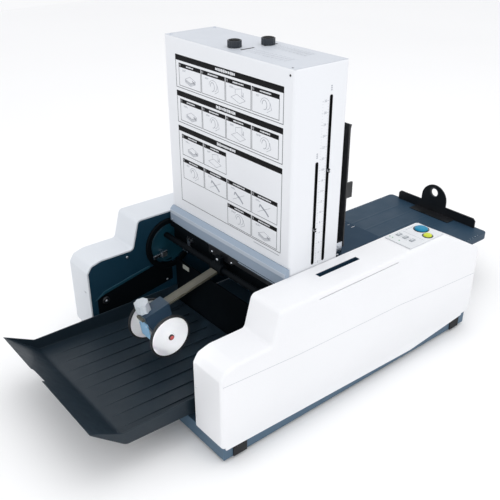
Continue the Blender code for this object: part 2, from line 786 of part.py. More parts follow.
def make_drive():
    x, z = pinion_place()
    pivot = (x, 0, z)
    quarter = math.pi / 2
    gear_step = 2 * math.pi / GEAR_TEETH
    # The feed-side gear has a tooth or a gap straight below; the pinion shows it the opposite.
    tooth_below = (quarter / gear_step) % 1.0
    phase = quarter + (0.5 - tooth_below) * 2 * math.pi / PINION_TEETH
    outline = gear_outline(x, z, PINION_TEETH, phase)
    pinion = object_of(prism(outline, "Y", GEAR_Y, GEAR_Y + GEAR_WIDTH), "motor_pinion", LOOK["gear"], pivot)
    shaft = rod(0.004, "Y", pivot_on_axis(x, z), GEAR_Y - 0.003, GEAR_Y + GEAR_WIDTH + 0.0035, 20)
    join_shapes(pinion, object_of(shaft, "shape_pinion_shaft", LOOK["gear"]))
    start = GEAR_Y + GEAR_WIDTH + 0.004
    end = FAR_SIDE - COVER_WALL - 0.005
    body = turned(
        [(MOTOR_RADIUS - 0.002, start), (MOTOR_RADIUS, start + 0.002), (MOTOR_RADIUS, end)],
        "Y",
        pivot_on_axis(x, z),
        32,
    )
    motor = object_of(body, "drive_motor", LOOK["steel"])
    foot = box(x - 0.018, x + 0.018, start + 0.003, end - 0.003, COVER_BASE + COVER_WALL + GAP, z)
    join_shapes(motor, object_of(foot, "shape_motor_foot", LOOK["steel"]))


# ---------------------------------------------------------------- feed end


def make_feed_table():
    near = NEAR_INNER + GAP
    far = FAR_INNER - GAP
    half = TABLE_WIDTH / 2
    start = TOWER_END + 0.010
    neck = BODY_LENGTH - 0.004
    outline = rounded(
        [
            (start, near, 0.0),
            (start, far, 0.0),
            (neck, far, 0.004),
            (neck, BAY_MIDDLE + half, 0.004),
            (TABLE_END, BAY_MIDDLE + half, 0.010),
            (TABLE_END, BAY_MIDDLE - half, 0.010),
            (neck, BAY_MIDDLE - half, 0.004),
            (neck, near, 0.004),
        ],
        3,
    )
    table = object_of(prism(outline, "Z", TABLE_TOP - TABLE_SKIRT, TABLE_TOP), "feed_table", LOOK["table"])
    under = TABLE_TOP - TABLE_SHEET
    below = TABLE_TOP - TABLE_SKIRT - 0.01
    wide = box(start - 0.01, neck + 0.002, near - 0.01, far + 0.01, below, under)
    cut(table, cutter_of(wide, "cut_table_bay"))
    narrow = box(
        neck - 0.01,
        TABLE_END - TABLE_SHEET,
        BAY_MIDDLE - half + TABLE_SHEET,
        BAY_MIDDLE + half - TABLE_SHEET,
        below,
        under,
    )
    cut(table, cutter_of(narrow, "cut_table_pan"))
    reach = FEED_ROLLER_LENGTH / 2 + 0.003
    window = box(
        FEED_ROLLER_X - FEED_ROLLER_RADIUS,
        FEED_ROLLER_X + FEED_ROLLER_RADIUS,
        BAY_MIDDLE - reach,
        BAY_MIDDLE + reach,
        below,
        TABLE_TOP + 0.01,
    )
    cut(table, cutter_of(window, "cut_roller_window"))


def make_feed_deck():
    """The dark plate over the sheets' leading edge, turned down at the tower."""
    near = NEAR_INNER + GAP
    far = FAR_INNER - GAP
    start = TOWER_END + 0.010
    outline = [
        (start, DECK_TOP),
        (DECK_END - 0.002, DECK_TOP),
        (DECK_END, DECK_TOP - 0.002),
        (DECK_END, DECK_TOP - 0.014),
        (DECK_END - DECK_SHEET, DECK_TOP - 0.014),
        (DECK_END - DECK_SHEET, DECK_TOP - DECK_SHEET),
        (start + DECK_SHEET, DECK_TOP - DECK_SHEET),
        (start + DECK_SHEET, TABLE_TOP + 0.040),
        (start, TABLE_TOP + 0.040),
    ]
    object_of(prism(outline, "Y", near, far), "feed_deck", LOOK["table"])


def make_feed_roller():
    pivot = (FEED_ROLLER_X, BAY_MIDDLE, FEED_ROLLER_Z)
    half = FEED_ROLLER_LENGTH / 2
    profile = [
        (JOURNAL_RADIUS, NEAR_INNER - GAP - FRAME_SHEET - 0.004),
        (JOURNAL_RADIUS, BAY_MIDDLE - half),
        (FEED_ROLLER_RADIUS, BAY_MIDDLE - half),
        (FEED_ROLLER_RADIUS, BAY_MIDDLE + half),
        (JOURNAL_RADIUS, BAY_MIDDLE + half),
        (JOURNAL_RADIUS, FAR_INNER + GAP + FRAME_SHEET + 0.004),
    ]
    centre = pivot_on_axis(FEED_ROLLER_X, FEED_ROLLER_Z)
    object_of(turned(profile, "Y", centre, 32), "feed_roller", LOOK["rubber"], pivot)
    pad_z = TABLE_TOP + FEED_ROLLER_PROUD + 0.0008
    pad = [
        (FEED_ROLLER_X - 0.008, pad_z),
        (FEED_ROLLER_X + 0.010, pad_z),
        (FEED_ROLLER_X + 0.022, pad_z + 0.010),
        (FEED_ROLLER_X + 0.006, DECK_TOP - DECK_SHEET - GAP),
        (FEED_ROLLER_X - 0.008, DECK_TOP - DECK_SHEET - GAP),
    ]
    block = prism(pad, "Y", BAY_MIDDLE - 0.022, BAY_MIDDLE + 0.022)
    object_of(block, "separator_pad", LOOK["black"])


def make_side_guides():
    """Angle guides that set the sheet's width; they slide together, mirrored across the middle."""
    start = DECK_END - 0.040
    floor = TABLE_TOP + GAP
    for name, side in (("near", -1.0), ("far", 1.0)):
        edge = BAY_MIDDLE + side * (SHEET_WIDTH / 2 + 0.001)
        outline = [
            (edge, floor + 0.0015),
            (edge, floor + GUIDE_HEIGHT),
            (edge + side * 0.0015, floor + GUIDE_HEIGHT),
            (edge + side * 0.0015, floor),
            (edge - side * 0.020, floor),
            (edge - side * 0.020, floor + 0.0015),
        ]
        pivot = (start, edge, floor)
        bm = prism(outline, "X", start, start + GUIDE_LENGTH)
        object_of(bm, "side_guide_" + name, LOOK["steel"], pivot)


def make_rear_stop():
    """The upright stop at the table's end; its ear has a finger hole to slide it by."""
    back = TABLE_END - 0.006
    floor = TABLE_TOP + GAP
    half = STOP_WIDTH / 2
    ear_y = BAY_MIDDLE + 0.008
    ear_z = EAR_TOP - EAR_RADIUS
    pivot = (back, BAY_MIDDLE, floor)
    base = [
        (BAY_MIDDLE - half, floor),
        (BAY_MIDDLE - half, floor + STOP_HEIGHT - 0.006),
        (BAY_MIDDLE - half + 0.006, floor + STOP_HEIGHT),
        (BAY_MIDDLE + half - 0.006, floor + STOP_HEIGHT),
        (BAY_MIDDLE + half, floor + STOP_HEIGHT - 0.006),
        (BAY_MIDDLE + half, floor),
    ]
    plate = object_of(prism(base, "X", back - 0.003, back), "rear_stop", LOOK["black"], pivot)
    ear = rod(EAR_RADIUS, "X", (0, ear_y, ear_z), back - 0.003, back, 40)
    skirt = box(back - 0.003, back, ear_y - EAR_RADIUS, ear_y + EAR_RADIUS, floor + 0.001, ear_z)
    # The ear reaches lower than the table, so it is trimmed off at the stop's own foot.
    ear_shape = object_of(ear, "shape_ear", LOOK["black"])
    trim = box(back - 0.02, back + 0.02, ear_y - 0.1, ear_y + 0.1, floor - 0.1, floor + 0.002)
    cut(ear_shape, cutter_of(trim, "cut_ear_foot"))
    join_shapes(plate, ear_shape)
    join_shapes(plate, object_of(skirt, "shape_ear_skirt", LOOK["black"]))
    sole = box(back - 0.030, back, BAY_MIDDLE - 0.060, BAY_MIDDLE + 0.060, floor, floor + 0.0015)
    join_shapes(plate, object_of(sole, "shape_stop_sole", LOOK["black"]))
    hole_z = ear_z + 0.018
    hole = rod(EAR_HOLE_RADIUS, "X", (0, ear_y, hole_z), back - 0.02, back + 0.02, 32)
    cut(plate, cutter_of(hole, "cut_finger_hole"))


# ---------------------------------------------------------------- delivery end


def tray_side():
    """The tray's side outline, clockwise from the inner foot: floor line below, rim line above."""
    inner = TRAY_INNER_END
    return [
        (inner, TRAY_FLOOR_Z - TRAY_SHEET - 0.012, 0.0),
        (-TRAY_TURN_X + 0.004, TRAY_FLOOR_Z + 0.001, 0.020),
        (-TRAY_REACH + 0.002, TRAY_TIP_Z - 0.004, 0.0),
        (-TRAY_REACH, TRAY_TIP_Z, 0.0),
        (-TRAY_TURN_X, TRAY_RIM_Z, 0.014),
        (inner, TRAY_RIM_Z, 0.0),
    ]


def make_tray():
    half = TRAY_WIDTH / 2
    near = BAY_MIDDLE - half
    far = BAY_MIDDLE + half
    tray = object_of(prism(rounded(tray_side(), 5), "Y", near, far), "delivery_tray", LOOK["tray"])
    inner = TRAY_INNER_END
    sheet = TRAY_SHEET
    hollow = rounded(
        [
            (inner + 0.01, TRAY_FLOOR_Z - 0.012, 0.0),
            (-TRAY_TURN_X + 0.006, TRAY_FLOOR_Z + 0.001 + sheet, 0.018),
            (-TRAY_REACH + 0.002, TRAY_TIP_Z - 0.001, 0.0),
            (-TRAY_REACH - 0.004, TRAY_TIP_Z + 0.03, 0.0),
            (inner + 0.01, TRAY_TIP_Z + 0.03, 0.0),
        ],
        5,
    )
    bowl = prism(hollow, "Y", near + sheet, far - sheet)
    cut(tray, cutter_of(bowl, "cut_tray"))
    for name, y in (("near", near + 0.030), ("far", far - 0.030)):
        rib = box(0.030, inner - 0.010, y - 0.006, y + 0.006, COVER_BASE + GAP, TRAY_FLOOR_Z - 0.004)
        join_shapes(tray, object_of(rib, "shape_tray_rib_" + name, LOOK["tray"]))
    notch = rounded(
        [
            (-TRAY_REACH - 0.02, BAY_MIDDLE - 0.008, 0.0),
            (-TRAY_REACH - 0.02, BAY_MIDDLE + 0.060, 0.0),
            (-TRAY_REACH + 0.005, BAY_MIDDLE + 0.048, 0.004),
            (-TRAY_REACH + 0.008, BAY_MIDDLE + 0.004, 0.004),
        ],
        3,
    )
    cut(tray, cutter_of(prism(notch, "Z", 0.08, 0.16), "cut_tray_notch"))


def arm_point(along, up):
    """A point of the stacker arm's side view: along the rail from its pivot, and square to it."""
    x = ARM_PIVOT_X - along * math.cos(ARM_SLOPE) - up * math.sin(ARM_SLOPE)
    z = ARM_PIVOT_Z - along * math.sin(ARM_SLOPE) + up * math.cos(ARM_SLOPE)
    return x, z


def make_stacker():
    near = NEAR_INNER + GAP
    far = FAR_INNER - GAP
    pivot = (ARM_PIVOT_X, 0.0, ARM_PIVOT_Z)
    bar = rod(CROSS_BAR_RADIUS, "Y", pivot, near, far, 24)
    object_of(bar, "stacker_cross_bar", LOOK["black"])
    middle = BAY_MIDDLE - 0.003
    low = middle - CLAMP_LENGTH / 2
    high = middle + CLAMP_LENGTH / 2
    barrel = turned_ring(
        [
            (CROSS_BAR_RADIUS + RUNNING_GAP, low),
            (CLAMP_RADIUS, low),
            (CLAMP_RADIUS, high),
            (CROSS_BAR_RADIUS + RUNNING_GAP, high),
        ],
        "Y",
        pivot,
        24,
    )
    clamp = object_of(barrel, "stacker_clamp", LOOK["black"], pivot)
    ear_foot = ARM_PIVOT_Z + CROSS_BAR_RADIUS + 0.003
    ear = box(ARM_PIVOT_X - 0.003, ARM_PIVOT_X + 0.005, middle - 0.009, middle + 0.009, ear_foot, ear_foot + 0.016)
    join_shapes(clamp, object_of(ear, "shape_clamp_ear", LOOK["black"]))
    half = RAIL_WIDTH / 2
    low = -RAIL_THICKNESS / 2
    high = RAIL_THICKNESS / 2
    start = CLAMP_RADIUS + GAP
    rail = [arm_point(start, low), arm_point(start, high), arm_point(RAIL_LENGTH, high), arm_point(RAIL_LENGTH, low)]
    object_of(prism(rail, "Y", middle - half, middle + half), "stacker_rail", LOOK["rail"], pivot)
    return pivot, middle, half


def make_stacker_head(middle, half):
    """The carriage on the rail's end: a top slab that runs on past the axle, and a fork down to it."""
    pivot = (WHEEL_X, middle, WHEEL_Z)
    along = (ARM_PIVOT_X - WHEEL_X) / math.cos(ARM_SLOPE)
    top = RAIL_THICKNESS / 2 + HEAD_COVER
    cheek_low = WHEEL_Z - 0.011
    front = arm_point(along + HEAD_FRONT_SPAN, top)
    front_foot = arm_point(along + HEAD_FRONT_SPAN, -top - 0.002)
    rear = arm_point(along - HEAD_REAR_SPAN, top)
    outline = [
        (WHEEL_X - 0.011, cheek_low),
        front_foot,
        front,
        rear,
        (rear[0] + 0.004, rear[1] - 0.024),
        (WHEEL_X + 0.013, cheek_low),
    ]
    depth = half + HEAD_CHEEK
    head = object_of(prism(outline, "Y", middle - depth, middle + depth), "stacker_head", LOOK["knob"], pivot)
    clear = 0.0006
    low = -RAIL_THICKNESS / 2 - clear
    high = RAIL_THICKNESS / 2 + clear
    ends = (along - 0.06, along + 0.08)
    channel = [arm_point(ends[0], low), arm_point(ends[0], high), arm_point(ends[1], high), arm_point(ends[1], low)]
    tunnel = prism(channel, "Y", middle - half - clear, middle + half + clear)
    cut(head, cutter_of(tunnel, "cut_head_tunnel"))
    bore = rod(0.003 + RUNNING_GAP, "Y", pivot_on_axis(WHEEL_X, WHEEL_Z), -0.1, 0.1, 20)
    cut(head, cutter_of(bore, "cut_axle_bore"))
    fork = box(WHEEL_X - 0.010, WHEEL_X + 0.012, middle - half, middle + half, cheek_low - 0.01, WHEEL_Z + 0.012)
    cut(head, cutter_of(fork, "cut_head_fork"))
    make_thumb_knob(along + THUMB_AHEAD, top + GAP, middle + THUMB_ACROSS)


def make_thumb_knob(along, up, y):
    """A lobed clamping knob that stands square on the carriage, ahead of the axle."""
    lobes = 8
    steps = 6
    outline = []
    for step in range(lobes * steps):
        angle = 2 * math.pi * step / (lobes * steps)
        radius = THUMB_RADIUS - 0.0009 * (1 - math.cos(lobes * angle))
        outline.append((radius * math.cos(angle), radius * math.sin(angle)))
    knob = prism(outline, "Z", 0.0, THUMB_HEIGHT)
    x, z = arm_point(along, up)
    place = Matrix.Translation((x, y, z)) @ Matrix.Rotation(-ARM_SLOPE, 4, "Y")
    bmesh.ops.transform(knob, matrix=place, verts=knob.verts)
    object_of(knob, "stacker_thumb_knob", LOOK["light_grey"], (x, y, z))


def make_wheels(middle):
    reach = WHEEL_SPREAD / 2 + WHEEL_THICKNESS / 2 + 0.002
    centre = pivot_on_axis(WHEEL_X, WHEEL_Z)
    pivot = (WHEEL_X, middle, WHEEL_Z)
    axle = rod(0.003, "Y", centre, middle - reach, middle + reach, 20)
    object_of(axle, "stacker_axle", LOOK["steel"], pivot)
    disc_radius = WHEEL_RADIUS - TYRE_THICKNESS
    for name, side in (("near", -1.0), ("far", 1.0)):
        y = middle + side * WHEEL_SPREAD / 2
        low = y - WHEEL_THICKNESS / 2
        high = y + WHEEL_THICKNESS / 2
        wheel_pivot = (WHEEL_X, y, WHEEL_Z)
        inner = 0.003 + RUNNING_GAP
        disc = [
            (inner, low),
            (0.008, low),
            (0.009, low + 0.001),
            (disc_radius - 0.001, low + 0.001),
            (disc_radius, low + 0.002),
            (disc_radius, high - 0.002),
            (disc_radius - 0.001, high - 0.001),
            (0.009, high - 0.001),
            (0.008, high),
            (inner, high),
        ]
        object_of(turned_ring(disc, "Y", centre, 48), "wheel_" + name, LOOK["wheel"], wheel_pivot)
        tread = disc_radius + RUNNING_GAP
        tyre = [
            (tread, low + 0.0008),
            (WHEEL_RADIUS - 0.001, low),
            (WHEEL_RADIUS, low + 0.0015),
            (WHEEL_RADIUS, high - 0.0015),
            (WHEEL_RADIUS - 0.001, high),
            (tread, high - 0.0008),
        ]
        object_of(turned_ring(tyre, "Y", centre, 48), "tyre_" + name, LOOK["rubber"], wheel_pivot)


# ---------------------------------------------------------------- controls


def key_places():
    """The three keys in their column, as (name, x, y)."""
    column = PANEL_START + KEY_COLUMN
    first = NEAR_SIDE + KEY_INSET
    return [("key_" + str(index + 1), column, first - KEY_PITCH * index) for index in range(3)]


def make_controls(near_cover):
    near = NEAR_SIDE + 0.008
    far = NEAR_INNER - 0.005
    low = COVER_TOP + GAP
    high = low + PANEL_THICKNESS
    end = PANEL_START + PANEL_LENGTH
    plate = object_of(box(PANEL_START, end, near, far, low, high), "control_panel", LOOK["panel"])
    margin = 0.003
    window = box(
        PANEL_START + margin,
        end - margin,
        near + margin,
        far - margin,
        COVER_TOP - COVER_WALL - 0.005,
        COVER_TOP + 0.01,
    )
    cut(near_cover, cutter_of(window, "cut_panel_window"))
    rounds = (
        ("start_button", START_X, NEAR_SIDE + START_INSET, START_RADIUS, LOOK["start"]),
        ("stop_button", STOP_X, NEAR_SIDE + STOP_INSET, STOP_RADIUS, LOOK["stop"]),
    )
    for name, x, y, radius, look in rounds:
        hole = rod(radius + 0.0005, "Z", (x, y, 0), low - 0.01, high + 0.01, 32)
        cut(plate, cutter_of(hole, "cut_" + name))
        profile = [
            (radius + 0.001, low - 0.006),
            (radius + 0.001, low - 0.0045),
            (radius, low - 0.0045),
            (radius, high + BUTTON_PROUD - 0.0012),
            (radius - 0.0012, high + BUTTON_PROUD),
        ]
        object_of(turned(profile, "Z", (x, y, 0), 32), name, look, (x, y, high))
    for name, x, y in key_places():
        half_x = KEY_LENGTH / 2
        half_y = KEY_WIDTH / 2
        play = 0.0004
        hole = box(x - half_x - play, x + half_x + play, y - half_y - play, y + half_y + play, low - 0.01, high + 0.01)
        cut(plate, cutter_of(hole, "cut_" + name))
        cap = box(x - half_x, x + half_x, y - half_y, y + half_y, low - 0.006, high + 0.0016)

        def on_cap(edge):
            return all(abs(vert.co.z - (high + 0.0016)) < 1e-6 for vert in edge.verts)

        round_edges(cap, on_cap, 0.0006, 1)
        object_of(cap, name, LOOK["key"], (x, y, high))


def make_power(far_cover):
    """The mains inlet and its rocker switch, low on the far cover's feed end."""
    y = FAR_INNER + 0.042
    inlet_z = 0.082
    wall = BODY_LENGTH
    half_y = 0.0135
    half_z = 0.010
    hole = box(wall - 0.01, wall + 0.01, y - half_y, y + half_y, inlet_z - half_z, inlet_z + half_z)
    cut(far_cover, cutter_of(hole, "cut_inlet_hole"))
    face = wall + GAP
    flange = box(face, face + 0.002, y - half_y - 0.004, y + half_y + 0.004, inlet_z - 0.014, inlet_z + 0.014)
    inlet = object_of(flange, "power_inlet", LOOK["black"])
    shrink = 0.0006
    body = box(wall - 0.022, face + 0.001, y - half_y + shrink, y + half_y - shrink, inlet_z - 0.0094, inlet_z + 0.0094)
    join_shapes(inlet, object_of(body, "shape_inlet_body", LOOK["black"]))
    socket = box(wall - 0.018, wall + 0.02, y - 0.0105, y + 0.0105, inlet_z - 0.007, inlet_z + 0.007)
    cut(inlet, cutter_of(socket, "cut_inlet_socket"))
    pins = box(wall - 0.019, wall - 0.004, y - 0.001, y + 0.001, inlet_z - 0.003, inlet_z + 0.002)
    join_shapes(inlet, object_of(pins, "shape_inlet_pin", LOOK["black"]))
    switch_z = 0.118
    hole = box(wall - 0.01, wall + 0.01, y - 0.0100, y + 0.0100, switch_z - 0.0072, switch_z + 0.0072)
    cut(far_cover, cutter_of(hole, "cut_switch_hole"))
    pivot = (wall - 0.004, y, switch_z)
    rocker = [
        (wall - 0.008, switch_z - 0.0040),
        (wall - 0.008, switch_z + 0.0040),
        (wall + 0.0005, switch_z + 0.0052),
        (wall + 0.0030, switch_z + 0.0050),
        (wall + 0.0008, switch_z),
        (wall + 0.0012, switch_z - 0.0050),
        (wall - 0.0005, switch_z - 0.0052),
    ]
    object_of(prism(rocker, "Y", y - 0.0095, y + 0.0095), "power_switch", LOOK["black"], pivot)


# ---------------------------------------------------------------- assembly

clear_scene()

MACHINE = bpy.data.objects.new("machine", None)
MACHINE.location = (SHIFT_X, 0, 0)
bpy.context.scene.collection.objects.link(MACHINE)

LOOK = {
    "cover": material("cover_white", (0.84, 0.86, 0.89), 0.42),
    "tower": material("tower_white", (0.78, 0.81, 0.86), 0.45),
    "base": material("base_blue_grey", (0.055, 0.085, 0.12), 0.5),
    "frame": material("frame_dark_teal", (0.02, 0.045, 0.075), 0.5),
    "black": material("black_paint", (0.012, 0.014, 0.018), 0.45),
    "rubber": material("rubber_black", (0.015, 0.016, 0.018), 0.8),
    "strip": material("strip_blue_grey", (0.30, 0.38, 0.50), 0.4),
    "steel": material("steel", (0.55, 0.57, 0.60), 0.3, 1.0),
    "bright": material("bright_bracket", (0.70, 0.72, 0.75), 0.25, 1.0),
    "roller": material("roller_grey", (0.16, 0.17, 0.19), 0.6),
    "gear": material("gear_nylon", (0.70, 0.69, 0.64), 0.5),
    "table": material("table_slate", (0.045, 0.07, 0.10), 0.5),
    "tray": material("tray_slate", (0.025, 0.035, 0.042), 0.45),
    "rail": material("rail_bronze_grey", (0.16, 0.155, 0.14), 0.4, 0.6),
    "knob": material("knob_charcoal", (0.03, 0.04, 0.055), 0.5),
    "light_grey": material("thumb_knob_grey", (0.62, 0.65, 0.68), 0.5),
    "wheel": material("wheel_white", (0.82, 0.84, 0.88), 0.4),
    "panel": material("panel_grey", (0.66, 0.69, 0.72), 0.4),
    "start": material("start_blue", (0.03, 0.26, 0.45), 0.35),
    "stop": material("stop_yellow_green", (0.52, 0.58, 0.08), 0.35),
    "key": material("key_grey", (0.42, 0.45, 0.48), 0.45),
    "cutter": material("cutter", (1.0, 0.2, 0.1), 0.5),
}

make_base()
COVER_NEAR, COVER_FAR = make_covers()
make_inner_trim()
make_tower()
make_strip()
make_fold_plates()
make_fold_stops()
make_stop_knobs()
make_rear_panel()
make_rollers()
make_drive()
make_feed_table()
make_feed_deck()
make_feed_roller()
make_side_guides()
make_rear_stop()
make_tray()
ARM_PIVOT, ARM_MIDDLE, ARM_HALF = make_stacker()
make_stacker_head(ARM_MIDDLE, ARM_HALF)
make_wheels(ARM_MIDDLE)
make_controls(COVER_NEAR)
make_power(COVER_FAR)
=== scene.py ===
"""Tabletop paper-folding machine: the looks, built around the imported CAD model."""

import json
import math
import random

import bmesh
import bpy
from mathutils import Matrix, Vector

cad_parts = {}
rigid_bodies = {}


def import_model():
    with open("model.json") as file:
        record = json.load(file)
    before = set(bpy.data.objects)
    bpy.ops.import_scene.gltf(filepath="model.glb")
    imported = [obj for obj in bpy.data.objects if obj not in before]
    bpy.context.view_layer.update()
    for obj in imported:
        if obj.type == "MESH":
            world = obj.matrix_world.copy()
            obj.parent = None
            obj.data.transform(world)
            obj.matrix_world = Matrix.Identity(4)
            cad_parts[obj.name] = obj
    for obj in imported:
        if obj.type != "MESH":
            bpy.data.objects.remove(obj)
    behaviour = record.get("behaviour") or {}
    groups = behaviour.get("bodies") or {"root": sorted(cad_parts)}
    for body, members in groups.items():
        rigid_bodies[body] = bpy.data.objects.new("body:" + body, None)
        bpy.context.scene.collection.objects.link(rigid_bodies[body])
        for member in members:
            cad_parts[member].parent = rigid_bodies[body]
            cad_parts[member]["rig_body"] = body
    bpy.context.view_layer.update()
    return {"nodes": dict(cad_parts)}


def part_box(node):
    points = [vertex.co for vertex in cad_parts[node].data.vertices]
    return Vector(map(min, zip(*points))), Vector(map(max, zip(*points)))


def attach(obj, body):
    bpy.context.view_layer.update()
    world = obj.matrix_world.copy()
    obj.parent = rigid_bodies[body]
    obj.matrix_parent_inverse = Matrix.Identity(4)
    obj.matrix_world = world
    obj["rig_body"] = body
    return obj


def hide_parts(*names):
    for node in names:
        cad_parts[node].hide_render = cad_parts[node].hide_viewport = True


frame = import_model()

# ---------------------------------------------------------------- studio
# A pale seamless floor, broad soft lights overhead and on the operator's side, a narrow gridded one on the
# stacker's carriage, and a camera that looks down at the delivery end from the operator's left.

FLOOR_SIZE = 9.0
FLOOR_COLOUR = (0.97, 0.97, 0.972)
CAMERA_PLACE = (-0.8822, -0.9789, 0.8933)
CAMERA_HEADING = math.radians(-39.34)
CAMERA_PITCH = math.radians(28.0)
CAMERA_LENS = 50.49


def new_material(name):
    """An empty node material and its shader."""
    made = bpy.data.materials.new(name)
    made.use_nodes = True
    return made, made.node_tree.nodes["Principled BSDF"]


def socket_noise(tree, scale, detail=2.0, roughness=0.5, stretch=None):
    """A noise over the object's own coordinates, optionally stretched along one axis."""
    nodes = tree.nodes
    coordinates = nodes.new("ShaderNodeTexCoord")
    noise = nodes.new("ShaderNodeTexNoise")
    noise.inputs["Scale"].default_value = scale
    noise.inputs["Detail"].default_value = detail
    noise.inputs["Roughness"].default_value = roughness
    if stretch is None:
        tree.links.new(coordinates.outputs["Object"], noise.inputs["Vector"])
    else:
        mapping = nodes.new("ShaderNodeMapping")
        mapping.inputs["Scale"].default_value = stretch
        tree.links.new(coordinates.outputs["Object"], mapping.inputs["Vector"])
        tree.links.new(mapping.outputs["Vector"], noise.inputs["Vector"])
    return noise.outputs["Fac"]


def spread(tree, value, low, high, start=0.3, end=0.7):
    """Maps a noise onto the range low to high."""
    mapped = tree.nodes.new("ShaderNodeMapRange")
    mapped.inputs["From Min"].default_value = start
    mapped.inputs["From Max"].default_value = end
    mapped.inputs["To Min"].default_value = low
    mapped.inputs["To Max"].default_value = high
    tree.links.new(value, mapped.inputs["Value"])
    return mapped.outputs["Result"]


def colour_mix(tree, factor, first, second):
    """A colour between two, by a factor socket."""
    mix = tree.nodes.new("ShaderNodeMix")
    mix.data_type = "RGBA"
    tree.links.new(factor, mix.inputs["Factor"])
    for place, colour in (("A", first), ("B", second)):
        target = next(s for s in mix.inputs if s.name == place and s.type == "RGBA")
        if isinstance(colour, tuple):
            target.default_value = (*colour, 1.0)
        else:
            tree.links.new(colour, target)
    return next(s for s in mix.outputs if s.type == "RGBA")


def add_bump(tree, shader, height, strength, distance, below=None):
    """A bump on the shader's normal; below is an earlier bump to build on."""
    bump = tree.nodes.new("ShaderNodeBump")
    bump.inputs["Strength"].default_value = strength
    bump.inputs["Distance"].default_value = distance
    tree.links.new(height, bump.inputs["Height"])
    if below is not None:
        tree.links.new(below.outputs["Normal"], bump.inputs["Normal"])
    tree.links.new(bump.outputs["Normal"], shader.inputs["Normal"])
    return bump


def matt_floor():
    """The floor's paint: pale, matt and very slightly clouded."""
    made, shader = new_material("studio_floor")
    tree = made.node_tree
    cloud = spread(tree, socket_noise(tree, 0.8), 0.0, 1.0)
    shade = tuple(0.985 * channel for channel in FLOOR_COLOUR)
    tree.links.new(colour_mix(tree, cloud, FLOOR_COLOUR, shade), shader.inputs["Base Color"])
    shader.inputs["Roughness"].default_value = 0.85
    add_bump(tree, shader, socket_noise(tree, 260.0), 0.04, 0.0005)
    return made


floor_mesh = bpy.data.meshes.new("studio_floor")
half = FLOOR_SIZE / 2
floor_corners = [(-half, -half, 0), (half, -half, 0), (half, half, 0), (-half, half, 0)]
floor_mesh.from_pydata(floor_corners, [], [(0, 1, 2, 3)])
floor_mesh.materials.append(matt_floor())
studio_floor = bpy.data.objects.new("studio_floor", floor_mesh)
bpy.context.scene.collection.objects.link(studio_floor)

world = bpy.data.worlds.new("studio_air")
world.use_nodes = True
world.node_tree.nodes["Background"].inputs["Color"].default_value = (0.98, 0.985, 1.0, 1.0)
world.node_tree.nodes["Background"].inputs["Strength"].default_value = 0.97
bpy.context.scene.world = world
bpy.context.scene.view_settings.view_transform = "Standard"


def soft_light(name, place, aim, width, power, tint=(1.0, 1.0, 1.0), spread=180.0):
    """A square light of a width, aimed at a point; a small spread acts as a grid in front of it."""
    lamp = bpy.data.lights.new(name, "AREA")
    lamp.shape = "SQUARE"
    lamp.size = width
    lamp.energy = power
    lamp.color = tint
    lamp.spread = math.radians(spread)
    made = bpy.data.objects.new(name, lamp)
    made.location = place
    made.rotation_euler = (Vector(aim) - Vector(place)).to_track_quat("-Z", "Y").to_euler()
    bpy.context.scene.collection.objects.link(made)


MACHINE_MIDDLE = (0.0, 0.0, 0.3)
COOL_LIGHT = (0.95, 0.98, 1.0)
soft_light("overhead_softbox", (0.1, -0.3, 2.6), MACHINE_MIDDLE, 2.2, 13.0)
soft_light("operator_side_softbox", (0.9, -2.4, 1.5), MACHINE_MIDDLE, 1.6, 3.5)
soft_light("delivery_end_softbox", (-2.0, -1.5, 1.6), MACHINE_MIDDLE, 1.4, 6.0, COOL_LIGHT)
soft_light("carriage_fill", (-1.05, -0.80, 0.80), (-0.31, -0.04, 0.15), 0.08, 0.05, spread=9.0)

camera = bpy.data.objects.new("camera", bpy.data.cameras.new("camera"))
camera.data.lens = CAMERA_LENS
camera.data.sensor_width = 36.0
camera.location = CAMERA_PLACE
camera.rotation_euler = (math.pi / 2 - CAMERA_PITCH, 0.0, CAMERA_HEADING)
camera.data.clip_start = 0.02
bpy.context.scene.collection.objects.link(camera)
bpy.context.scene.camera = camera

# ---------------------------------------------------------------- base pan and feet
# A folded sheet-steel pan in dark blue-grey paint that carries both covers, on four moulded rubber feet.
# Rubber corner pads on the pan's long sides keep the machine from walking.


def textured_paint(
    name, colour, roughness, grain=1400.0, grain_depth=0.05, mottle=0.03, fleck=0.0, shine=0.5
):
    """Stoved paint on steel: fine orange peel, a slight mottle, and roughness that drifts with handling."""
    made, shader = new_material(name)
    tree = made.node_tree
    drift = spread(tree, socket_noise(tree, 7.0, 3.0), 0.0, 1.0)
    darker = tuple(max(0.0, channel * (1.0 - mottle)) for channel in colour)
    base = colour_mix(tree, drift, colour, darker)
    if fleck > 0.0:
        specks = spread(tree, socket_noise(tree, 900.0, 1.0), 0.0, fleck, 0.60, 0.68)
        base = colour_mix(tree, specks, base, tuple(channel * 0.7 for channel in colour))
    tree.links.new(base, shader.inputs["Base Color"])
    smudge = spread(tree, socket_noise(tree, 22.0, 4.0), roughness - 0.05, roughness + 0.07)
    tree.links.new(smudge, shader.inputs["Roughness"])
    shader.inputs["Specular IOR Level"].default_value = shine
    peel = add_bump(tree, shader, socket_noise(tree, grain, 1.0), grain_depth, 0.0004)
    add_bump(tree, shader, socket_noise(tree, 60.0, 2.0), 0.02, 0.001, peel)
    return made


